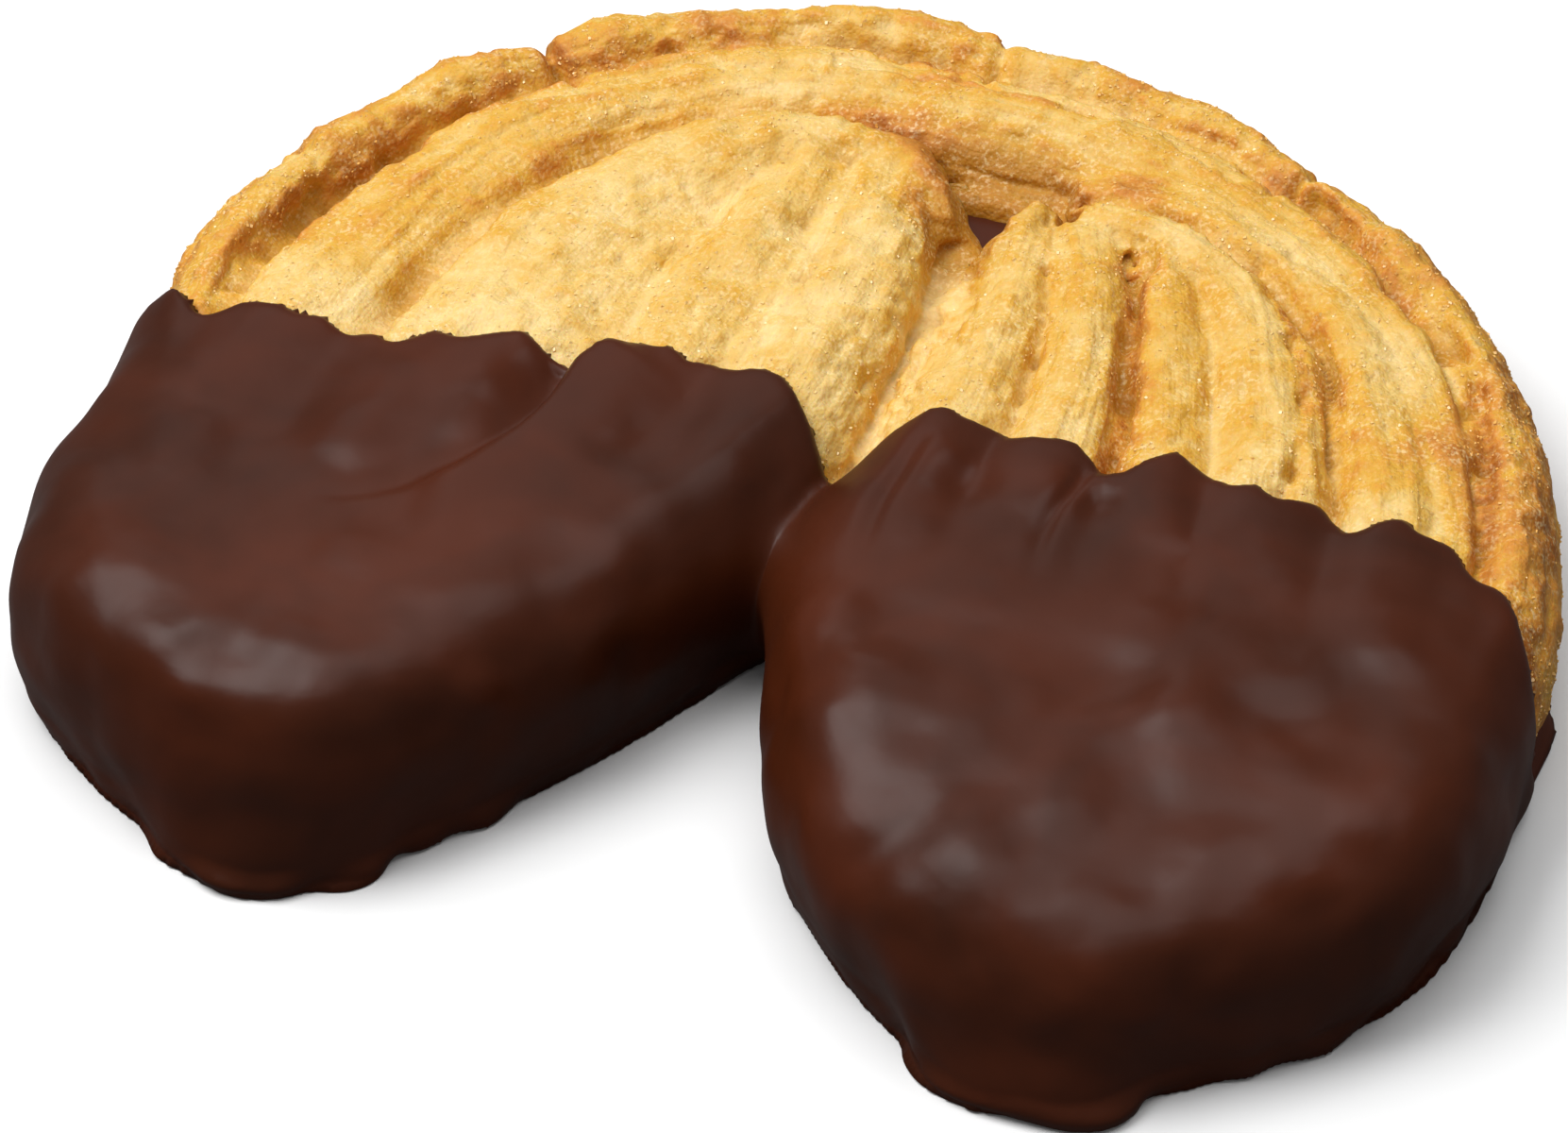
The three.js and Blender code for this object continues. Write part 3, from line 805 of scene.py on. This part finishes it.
class PalmierStageSettings(bpy.types.PropertyGroup):
    """Camera, lamps and floor."""

    azimuth: number("Azimuth", "Angle round the palmier", math.radians(20), subtype="ANGLE")
    elevation: number("Elevation", "Angle above the floor", math.radians(44), subtype="ANGLE")
    distance: millimetres("Distance", "From the camera to the point that it looks at", 500)
    lens: number("Lens", "Focal length", 144.1, unit="CAMERA")
    target: bpy.props.FloatVectorProperty(
        name="Target",
        description="The point that the camera looks at",
        default=(-1.3 * MM, -11.65 * MM, 9 * MM),
        subtype="XYZ",
        unit="LENGTH",
    )
    key_power: number("Key lamp", "Power of the soft box at the left", 5.5, unit="POWER")
    back_power: number("Back lamp", "Power of the soft box behind", 0.5, unit="POWER")
    fill_power: number("Overhead lamp", "Power of the soft box above", 2.6, unit="POWER")
    room_light: number("Room light", "Strength of the light from all round", 0.22, subtype="FACTOR")
    floor_colour: colour("Floor", "Paper under the palmier", "#F8F8F8")
    bounce_colour: colour("Floor bounce", "What the paper throws back", "#6A6A6A")


# ---- operators ----


class PALMIER_OT_crust(bpy.types.Operator):
    """Bakes the pastry: folds with flaky layers, creases, pits and a crumbly brown rim"""

    bl_idname = "palmier.crust"
    bl_label = "Crust"
    bl_options = {"REGISTER", "UNDO"}

    def execute(self, context):
        look = context.scene.palmier_crust
        piece = copy_of_node("pastry", "crust")
        apply_modifier(piece, "REMESH", mode="VOXEL", voxel_size=look.voxel)
        edit_all(piece, bpy.ops.mesh.vertices_smooth, factor=0.5, repeat=CRUST_SMOOTHING)
        mesh = piece.data
        points, _ = read_points(mesh)
        plan = points[:, :2] + PLAN_CENTRE
        soften = np.zeros(len(points))
        for line_points, reach, share in SOFT_VALLEYS:
            soften = np.maximum(soften, share * np.exp(-((near_line(plan, line_points)[0] / reach) ** 2)))
        # One of them is a deep slot: its bottom is lifted first.
        line_points, reach, height = DEEP_SLOT
        slot = (near_line(plan, line_points)[0] < reach) & (points[:, 2] > 3)
        points[slot, 2] = np.maximum(points[slot, 2], height)
        write_points(mesh, points)
        covered = neighbour_mean(mesh, self.covered(points), 8)
        from_hole = distance(plan, *HOLE_MIDDLE)
        soften *= ease(3, 8, points[:, 2]) * ease(5, 8, from_hole) * ease(0.5, 0, covered)
        soft = neighbour_mean(mesh, points, look.softening)
        points += (soft - points) * soften[:, None]
        write_points(mesh, points)
        points, normals = read_points(mesh)
        shown = (points[:, 1] > SHOWN_FROM_Y) & (points[:, 2] > SHOWN_ABOVE)
        # Under the coat the crust draws back, so that it never shows through where the coat is rounded.
        depth = DRAW_BACK + DRAW_BACK_BEHIND_LIP * ease(8, 0, plan[:, 1])
        depth += DRAW_BACK_AT_TIPS * ease(-16, -30, plan[:, 1])
        depth *= covered * ease(1.6, 4, points[:, 2])
        relief = self.relief(look, points[shown], normals[shown]) * (1 - covered[shown])
        points[shown] += normals[shown] * relief[:, None]
        points -= normals * depth[:, None]
        points[:, 2] = np.maximum(points[:, 2], CRUST_FOOT)
        flatten_top(points)
        write_points(mesh, points)
        edit_all(piece, bpy.ops.mesh.vertices_smooth, factor=0.5, repeat=LAST_SMOOTHING)
        thin_out(piece, ~shown, HIDDEN_CRUST_SHARE)
        finish_mesh(piece, look.triangles)
        self.colour(piece.data)
        piece.data.materials.append(baked_puff_pastry(look))
        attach(piece, "root")
        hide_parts("pastry")
        return {"FINISHED"}

    @staticmethod
    def covered(points):
        """1 for the vertices that have chocolate over them, 0 for the others."""
        coat = skin_of_node("chocolate")
        found = np.ones(len(points))
        up = Vector((0, 0, 1))
        plan_y = points[:, 1] + PLAN_CENTRE[1]
        for i in np.nonzero(plan_y > LOWEST_LIP)[0]:
            found[i] = plan_y[i] < HIGHEST_LIP and coat.ray_cast(Vector(points[i]) * MM, up)[0] is not None
        return found

    def relief(self, look, points, normals):
        """How far each vertex moves out, in millimetres."""
        plan = points[:, :2] + PLAN_CENTRE
        owner, other, along, across, valley = fold_frame(plan)
        width, length, step, line, _ = FLAKE_TABLE[owner].T
        top = ease(0.1, 0.7, normals[:, 2])
        rim = owner == FOLD_NAMES.index("rim")

        # Strips of layers, each at its own height, broken off here and there along the fold.
        flat, strip, row = layer_strips(owner, along, across, width)
        within = strip - row
        cut = along / length + draw(row, owner, 3) * 7 + noise(flat, (2.2, 0.7, 1), 12) * 0.06
        height = draw(row, np.floor(cut) * 16 + owner, 5) - 0.5
        edge = 1 - np.exp(-((np.minimum(within, 1 - within) * width / STRIP_GROOVE) ** 2))
        patches = ease(-0.5, 0.5, noise(points, 9, 13))
        band = owner == FOLD_NAMES.index("band")
        step = np.where(band, step * (0.35 + 0.65 * ease(-1.5, 1.5, across)), step)
        strips = height * step * (0.5 + 0.8 * patches) - (1 - edge) * step * GROOVE_SHARE
        strips = look.flake_share * top * strips

        # Fine lines between the layers, two or three to a strip.
        fine = np.sin(2 * np.pi * (strip * LINES_PER_STRIP + draw(row, owner, 9))) * line * top
        fine *= ease(-0.4, 0.6, noise(flat, (7, 1.4, 1), 14))

        # The wall of the hole runs out towards its foot.
        from_hole = distance(plan, *HOLE_MIDDLE)
        wall = ease(9, 6, from_hole) * ease(0.6, 0.2, normals[:, 2]) * ease(15.5, 10, points[:, 2])
        wall *= HOLE_WALL_FOOT

        # Lumps and crumb.
        lumps = noise(points, 5.0, 31) * look.lump_height / MM
        lumps += noise(points, 2.2, 32) * look.lump_height / MM * 0.7
        soft_folds = ("left_outer", "left_middle", "left_inner", "right_1")
        soft = np.isin(owner, [FOLD_NAMES.index(name) for name in soft_folds])
        cleft, reach, _ = SOFT_VALLEYS[0]
        filled = np.exp(-((near_line(plan, cleft)[0] / reach) ** 2))
        crumb = noise(points, 0.9, 33) * look.crumb_height / MM * (0.5 + 0.5 * top)
        crumb *= 0.8 + 0.3 * rim + 0.2 * soft + 0.8 * filled

        crease = self.creases(points, normals, owner, other, along, valley)
        pit = self.pits(plan, top)
        return strips + fine + wall - crease - pit + lumps * (0.7 + 0.5 * rim + 0.6 * soft) + crumb

    @staticmethod
    def creases(points, normals, owner, other, along, valley):
        """How deep the creases in the valleys and the furrows are, in millimetres."""
        plan = points[:, :2] + PLAN_CENTRE
        upwards = ease(0.0, 0.5, normals[:, 2])
        crease = np.zeros(len(points))
        for (a, b), (depth, wide, shoulder) in CREASES.items():
            ia, ib = FOLD_NAMES.index(a), FOLD_NAMES.index(b)
            mine = ((owner == ia) & (other == ib)) | ((owner == ib) & (other == ia))
            bottom = np.exp(-((valley / wide) ** 2)) * depth
            broken = 0.65 + 0.5 * noise(np.column_stack([along, along * 0, along * 0]), 5, 20 + ia)
            rounded = shoulder * (1 - ease(0, 2.4, valley)) ** 1.5
            crease = np.where(mine, bottom * broken + rounded, crease)
        crease *= upwards
        ragged = noise(points, 1.6, 24) * 0.4 + noise(points, 4, 25) * 0.4
        for line_points, wide, depth, _ in FURROWS:
            far, ends = near_furrow(plan, line_points)
            crease += depth * ends * np.exp(-(((far + ragged) / wide) ** 2)) * upwards
        return crease

    @staticmethod
    def pits(plan, top):
        """How deep the pits and the cracks across the rim are, in millimetres."""
        pit = np.zeros(len(plan))
        for x, y, radius, depth in PITS:
            gap = np.hypot(plan[:, 0] - x, (plan[:, 1] - y) * 0.75) / radius
            pit += depth * np.exp(-(gap**2) * 1.5) * top
        for x, y, wide, depth in RIM_CRACKS:
            gap = distance(plan, x, y)
            radial = np.array([x, y - 10]) / math.hypot(x, y - 10)
            aside = (plan[:, 0] - x) * -radial[1] + (plan[:, 1] - y) * radial[0]
            pit += depth * np.exp(-((aside / wide) ** 2)) * ease(7, 4, gap)
        return pit

    @staticmethod
    def colour(mesh):
        """Stores how brown each vertex is, partly with painted shade, and how much painted shade darkens it
        in the hollows.
        """
        points, normals = read_points(mesh)
        plan = points[:, :2] + PLAN_CENTRE
        owner, _, along, across, valley = fold_frame(plan)
        width, _, _, _, brown_and_shade = FLAKE_TABLE[owner].T.copy()
        _, _, row = layer_strips(owner, along, across, width)
        brown_and_shade += (draw(row, owner, 41) - 0.5) * BROWNING["strip"]
        brown_and_shade += noise(points, 7, 42) * BROWNING["blotch"] + noise(points, 3, 43) * BROWNING["mottle"]
        smooth = neighbour_mean(mesh, points, 30)
        stand = ((points - smooth) * normals).sum(1)
        brown_and_shade += np.clip(stand * 0.5, -0.1, 0.16)
        for x, y, radius in BROWN_SPOTS:
            gap = distance(plan, x, y) / radius
            brown_and_shade += BROWNING["spot"] * np.exp(-(gap**2))
        for line_points, wide, _, browner in FURROWS:
            far, ends = near_furrow(plan, line_points)
            brown_and_shade += browner * ends * np.exp(-((far / (wide + 0.25)) ** 2))
        rim = owner == FOLD_NAMES.index("rim")
        tilt = neighbour_mean(mesh, normals[:, 2], 6)
        # Steep sides are coloured browner: partly baked colour, partly painted shade on the flanks.
        brown_and_shade += BROWNING["slope_browning_and_shade"] * ease(0.95, 0.5, tilt)
        brown_and_shade -= BROWNING["near_coat"] * ease(20, 6, plan[:, 1]) * ~rim
        from_hole = distance(plan, *HOLE_MIDDLE)
        # Painted shade: the steep wall of the hole is coloured browner, where shade falls.
        brown_and_shade += BROWNING["hole"] * ease(12, 7, from_hole) * ease(0.8, 0.4, tilt)
        # The crumb between the ears stayed pale.
        cleft, reach, _ = SOFT_VALLEYS[0]
        pale = np.exp(-((near_line(plan, cleft)[0] / reach) ** 2))
        brown_and_shade -= BROWNING["cleft"] * pale
        write_attribute(mesh, "browning", np.clip(brown_and_shade, 0, 1))
        # Painted shade: vertices that lie below the broad surface, in the grooves, get the hollow shade,
        # which darkens them where shade falls.
        broad = neighbour_mean(mesh, smooth, 50)
        sunk = ((broad - points) * normals).sum(1)
        hollow = ease(0.12, 0.9, sunk) * 0.8 * (1 - 0.6 * pale)
        # Painted shade: the wall of the hole gets the hollow shade as well.
        hollow = np.maximum(hollow, 0.85 * ease(11, 6, from_hole) * ease(17, 14, points[:, 2]))
        write_attribute(mesh, "hollow", hollow)
        write_attribute(mesh, "layering", ease(0.3, 1.2, valley) * (1 - 0.7 * pale))
        write_attribute(mesh, "along", along)
        write_attribute(mesh, "across", across + owner * 40)


class PALMIER_OT_chocolate(bpy.types.Operator):
    """Dips the ears: a coat that follows the folds softly, swells, and ends in a thin rounded lip"""

    bl_idname = "palmier.chocolate"
    bl_label = "Chocolate"
    bl_options = {"REGISTER", "UNDO"}

    def execute(self, context):
        look = context.scene.palmier_chocolate
        piece = copy_of_node("chocolate", "coating")
        self.add_feet(piece)
        apply_modifier(piece, "REMESH", mode="VOXEL", voxel_size=look.voxel)
        self.straighten_wall(piece.data)
        apply_modifier(piece, "REMESH", mode="VOXEL", voxel_size=look.voxel)
        edit_all(piece, bpy.ops.mesh.vertices_smooth, factor=0.5, repeat=COAT_SMOOTHING)
        mesh = piece.data
        points, normals = read_points(mesh)
        gap, facing = self.to_pastry(points, normals)
        inner = (gap < INSIDE_REACH) & (facing > 0)
        # Away from its lip the coat ran together over the folds and rounded the edges.
        plan_y = points[:, 1] + PLAN_CENTRE[1]
        deep = ease(8, -7, plan_y) * ease(0.4, 2.6, points[:, 2])
        soft = neighbour_mean(mesh, points, look.rounding)
        points += (soft - points) * deep[:, None]
        # The right ear slopes down to its tip.
        plan_x = points[:, 0] + PLAN_CENTRE[0]
        drop = TIP_SLOPE * ease(-14, -38, plan_y) * ease(-2, 4, plan_x)
        points[:, 2] -= drop * ease(5, 15, points[:, 2])
        # The inside of the coat is pressed into the crust, so that no gap shows at the lip.
        points[inner] += normals[inner] * (PRESS_AT_LIP + PRESS_MORE * deep[inner])[:, None]
        write_points(mesh, points)
        points, normals = read_points(mesh)
        outer = ~inner & (points[:, 2] > 0.3)
        points[outer] += normals[outer] * self.swell(look, points[outer], normals[outer])[:, None]
        points[:, 2] = np.maximum(points[:, 2], 0)
        # The marks of the mesh are smoothed away, most of all on the thin film.
        light = neighbour_mean(mesh, points, OUTSIDE_SMOOTHING)
        strong = neighbour_mean(mesh, light, FILM_SMOOTHING)
        film = ease(2.8, 1.8, points[:, 2]) * ease(0.3, 0.7, points[:, 2])
        points[outer] = (light + (strong - light) * film[:, None])[outer]
        flatten_top(points)
        write_points(mesh, points)
        thin_out(piece, inner | (points[:, 2] < 0.1), HIDDEN_COAT_SHARE)
        finish_mesh(piece, look.triangles)
        piece.data.materials.append(dark_chocolate(look))
        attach(piece, "root")
        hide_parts("chocolate")
        return {"FINISHED"}

    @staticmethod
    def add_feet(piece):
        """Joins a lump to the coat where it ran down under each ear."""
        select_only(piece)
        for place, sizes in FOOT_LUMPS:
            middle = Vector((place[0] - PLAN_CENTRE[0], place[1] - PLAN_CENTRE[1], place[2])) * MM
            bpy.ops.mesh.primitive_uv_sphere_add(
                segments=32, ring_count=16, radius=MM, location=middle, scale=sizes
            )
            bpy.ops.object.transform_apply(location=True, rotation=False, scale=True)
            piece.select_set(True)
            bpy.context.view_layer.objects.active = piece
            bpy.ops.object.join()

    def straighten_wall(self, mesh):
        """Moves the wall out, so that it runs straight down to the film on the floor, with no step."""
        points, normals = read_points(mesh)
        level = np.hypot(normals[:, 0], normals[:, 1])
        push = np.interp(points[:, 2], WALL_HEIGHTS, WALL_PUSH) * ease(0.4, 0.8, level)
        _, facing = self.to_pastry(points, normals)
        push *= (points[:, 1] + PLAN_CENTRE[1] < WALL_END) * (facing < 0)
        points[:, :2] += normals[:, :2] / np.maximum(level, 0.1)[:, None] * push[:, None]
        write_points(mesh, points)

    @staticmethod
    def to_pastry(points, normals):
        """How far each vertex is from the solid pastry, and how much it faces it: below 0, it faces away."""
        pastry = skin_of_node("pastry")
        near = [pastry.find_nearest(Vector(p) * MM) for p in points]
        gap = np.array([hit[3] for hit in near]) / MM
        towards = np.array([hit[0] for hit in near]) / MM - points
        return gap, (towards * normals).sum(1)

    @staticmethod
    def swell(look, points, normals):
        """How far each vertex of the coat's outside moves out, in millimetres."""
        plan = points[:, :2] + PLAN_CENTRE
        top = ease(0.3, 0.8, normals[:, 2])
        height = look.swell / MM
        moved = height * (noise(points, 12, 51) + 0.8 * noise(points, 6, 52) + 0.3 * noise(points, 3.4, 53))
        moved *= 0.4 + 0.6 * ease(9, -4, plan[:, 1])
        # The foot of the wall is nubbly.
        foot = ease(2.6, 1.2, points[:, 2])
        moved += foot * NUBBLE_HEIGHT * noise(points * (1, 1, 0.3), NUBBLE_SIZE, 54)
        for line_points, step, reach in COAT_CREASES:
            far, side, share = near_line(plan, line_points)
            fade = ease(1, 0.15, share) * ease(0, 0.1, share)
            moved += top * fade * step * (1 + np.tanh(side / 0.9)) * np.exp(-((far / reach) ** 2))
            dip = 1.8 * (1 - ease(0, reach * 0.8, far)) + 0.7 * np.exp(-((far / 1.1) ** 2))
            moved -= top * fade * step * dip * ease(0.3, -0.3, side)
        for x, y, radius, height in COAT_SWELLS:
            gap = distance(plan, x, y) / radius
            moved += height * np.exp(-(gap**2)) * ease(3, 8, points[:, 2])
        return moved


class PALMIER_OT_sugar(bpy.types.Operator):
    """Scatters sugar crystals over the crust, half sunk in it"""

    bl_idname = "palmier.sugar"
    bl_label = "Sugar"
    bl_options = {"REGISTER", "UNDO"}

    def execute(self, context):
        look = context.scene.palmier_sugar
        crust = context.scene.objects["crust"].data
        corners, faces = self.crystal()
        random = np.random.default_rng(7)
        points, _ = read_points(crust)
        count = len(crust.polygons)
        triangles = np.empty(len(crust.loops), np.int32)
        crust.loops.foreach_get("vertex_index", triangles)
        triangles = triangles.reshape(-1, 3)
        normals = np.empty(count * 3)
        crust.polygon_normals.foreach_get("vector", normals)
        normals = normals.reshape(-1, 3)
        area = np.empty(count)
        crust.polygons.foreach_get("area", area)
        centres = points[triangles].mean(1)
        weight = area * (centres[:, 1] > -11) * (centres[:, 2] > 3) * (normals[:, 2] > -0.3)
        weight *= ease(-0.6, 0.7, noise(centres, 6, 61)) + 0.15
        values = {name: np.empty(len(points), np.float32) for name in ("browning", "hollow")}
        for name in values:
            crust.attributes[name].data.foreach_get("value", values[name])
        weight *= ease(0.2, 0.05, values["hollow"][triangles].mean(1))
        owner = fold_frame(centres[:, :2] + PLAN_CENTRE)[0]
        weight *= np.where(owner == FOLD_NAMES.index("rim"), RIM_SUGAR, 1)
        chosen = random.choice(count, look.crystals, p=weight / weight.sum())
        share = random.random((look.crystals, 2))
        share = np.where(share.sum(1, keepdims=True) > 1, 1 - share, share)
        a, b, c = (points[triangles[chosen, i]] for i in range(3))
        place = a + (b - a) * share[:, :1] + (c - a) * share[:, 1:]
        size = look.size / MM * random.uniform(0.6, 1.35, look.crystals)
        place -= normals[chosen] * (size * SUNK_SHARE)[:, None]
        turn = self.turns(random, look.crystals)
        grow = size[:, None, None] * random.uniform(0.75, 1.25, (look.crystals, 1, 3))
        verts = (corners[None] * grow) @ turn.transpose(0, 2, 1) + place[:, None]
        index = faces[None] + (np.arange(look.crystals) * len(corners))[:, None, None]
        mesh = bpy.data.meshes.new("sugar")
        mesh.from_pydata((verts.reshape(-1, 3) * MM).tolist(), [], index.reshape(-1, 3).tolist())
        mesh.update()
        piece = bpy.data.objects.new("sugar", mesh)
        context.scene.collection.objects.link(piece)
        # The crystals take on the crust's browning with its painted shade.
        write_attribute(mesh, "browning", np.repeat(values["browning"][triangles[chosen, 0]], len(corners)))
        mesh.materials.append(sugar_crystals(look))
        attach(piece, "root")
        return {"FINISHED"}

    @staticmethod
    def crystal():
        """One crystal, a cube with cut corners, 1 mm across: its corners and triangles."""
        bpy.ops.object.select_all(action="DESELECT")
        bpy.ops.mesh.primitive_cube_add(size=1)
        model = bpy.context.object
        bpy.ops.object.mode_set(mode="EDIT")
        bpy.ops.mesh.select_all(action="DESELECT")
        bpy.ops.object.mode_set(mode="OBJECT")
        for vertex in model.data.vertices:
            vertex.select = abs(vertex.co.x + vertex.co.y + vertex.co.z) > 1
        bpy.ops.object.mode_set(mode="EDIT")
        bpy.ops.mesh.bevel(offset=0.3, affect="VERTICES")
        bpy.ops.mesh.select_all(action="SELECT")
        bpy.ops.mesh.quads_convert_to_tris()
        bpy.ops.object.mode_set(mode="OBJECT")
        corners = np.array([v.co for v in model.data.vertices])
        faces = np.array([p.vertices for p in model.data.polygons])
        bpy.data.objects.remove(model)
        return corners, faces

    @staticmethod
    def turns(random, count):
        """Random turns, as matrices."""
        q = random.normal(size=(count, 4))
        q /= np.linalg.norm(q, axis=1, keepdims=True)
        w, x, y, z = q.T
        rows = [
            [1 - 2 * (y * y + z * z), 2 * (x * y - z * w), 2 * (x * z + y * w)],
            [2 * (x * y + z * w), 1 - 2 * (x * x + z * z), 2 * (y * z - x * w)],
            [2 * (x * z - y * w), 2 * (y * z + x * w), 1 - 2 * (x * x + y * y)],
        ]
        return np.array(rows).transpose(2, 0, 1)


class PALMIER_OT_stage(bpy.types.Operator):
    """Sets a white paper floor, three soft boxes and the camera"""

    bl_idname = "palmier.stage"
    bl_label = "Stage"
    bl_options = {"REGISTER", "UNDO"}

    def execute(self, context):
        look = context.scene.palmier_stage
        scene = context.scene
        bpy.ops.object.select_all(action="DESELECT")
        bpy.ops.mesh.primitive_plane_add(size=6)
        floor = context.object
        floor.name = "floor"
        floor.data.materials.append(seamless_paper(look))

        for name, (power, size, place) in SOFT_BOXES.items():
            bpy.ops.object.light_add(type="AREA", location=place)
            lamp = context.object
            lamp.name = name
            lamp.data.shape = "SQUARE"
            lamp.data.size = size
            lamp.data.energy = getattr(look, power)
            lamp.rotation_euler = (-Vector(place)).to_track_quat("-Z", "Y").to_euler()

        world = bpy.data.worlds.new("room")
        scene.world = world
        world.use_nodes = True
        room = world.node_tree.nodes["Background"]
        room.inputs["Color"].default_value = (1, 1, 1, 1)
        room.inputs["Strength"].default_value = look.room_light

        a, e = look.azimuth, look.elevation
        back = Vector((math.sin(a) * math.cos(e), -math.cos(a) * math.cos(e), math.sin(e)))
        bpy.ops.object.camera_add()
        camera = context.object
        camera.name = "camera"
        camera.location = Vector(look.target) + back * look.distance
        camera.rotation_euler = (-back).to_track_quat("-Z", "Y").to_euler()
        camera.data.lens = look.lens
        camera.data.sensor_width = SENSOR_WIDTH
        camera.data.clip_start = 0.01
        camera.data.clip_end = 20
        scene.camera = camera
        scene.view_settings.view_transform = "Standard"
        return {"FINISHED"}


class PALMIER_PT_panel(bpy.types.Panel):
    """Buttons and settings of the palmier"""

    bl_label = "Palmier"
    bl_idname = "PALMIER_PT_panel"
    bl_space_type = "VIEW_3D"
    bl_region_type = "UI"
    bl_category = "Palmier"

    def draw(self, context):
        for settings, group, operator in PARTS:
            box = self.layout.box()
            box.operator(operator.bl_idname)
            for name in group.__annotations__:
                box.prop(getattr(context.scene, settings), name)


# What each button builds with: its settings in the scene, their group and the operator.
PARTS = (
    ("palmier_crust", PalmierCrustSettings, PALMIER_OT_crust),
    ("palmier_chocolate", PalmierChocolateSettings, PALMIER_OT_chocolate),
    ("palmier_sugar", PalmierSugarSettings, PALMIER_OT_sugar),
    ("palmier_stage", PalmierStageSettings, PALMIER_OT_stage),
)


def register():
    """Adds the settings, the operators and the panel."""
    for settings, group, operator in PARTS:
        bpy.utils.register_class(group)
        setattr(bpy.types.Scene, settings, bpy.props.PointerProperty(type=group))
        bpy.utils.register_class(operator)
    bpy.utils.register_class(PALMIER_PT_panel)


def unregister():
    """Takes them away again."""
    bpy.utils.unregister_class(PALMIER_PT_panel)
    for settings, group, operator in reversed(PARTS):
        bpy.utils.unregister_class(operator)
        delattr(bpy.types.Scene, settings)
        bpy.utils.unregister_class(group)


def main():
    """Builds the palmier and its stage."""
    register()
    bpy.ops.palmier.crust()
    bpy.ops.palmier.chocolate()
    bpy.ops.palmier.sugar()
    bpy.ops.palmier.stage()


if __name__ == "__main__":
    main()
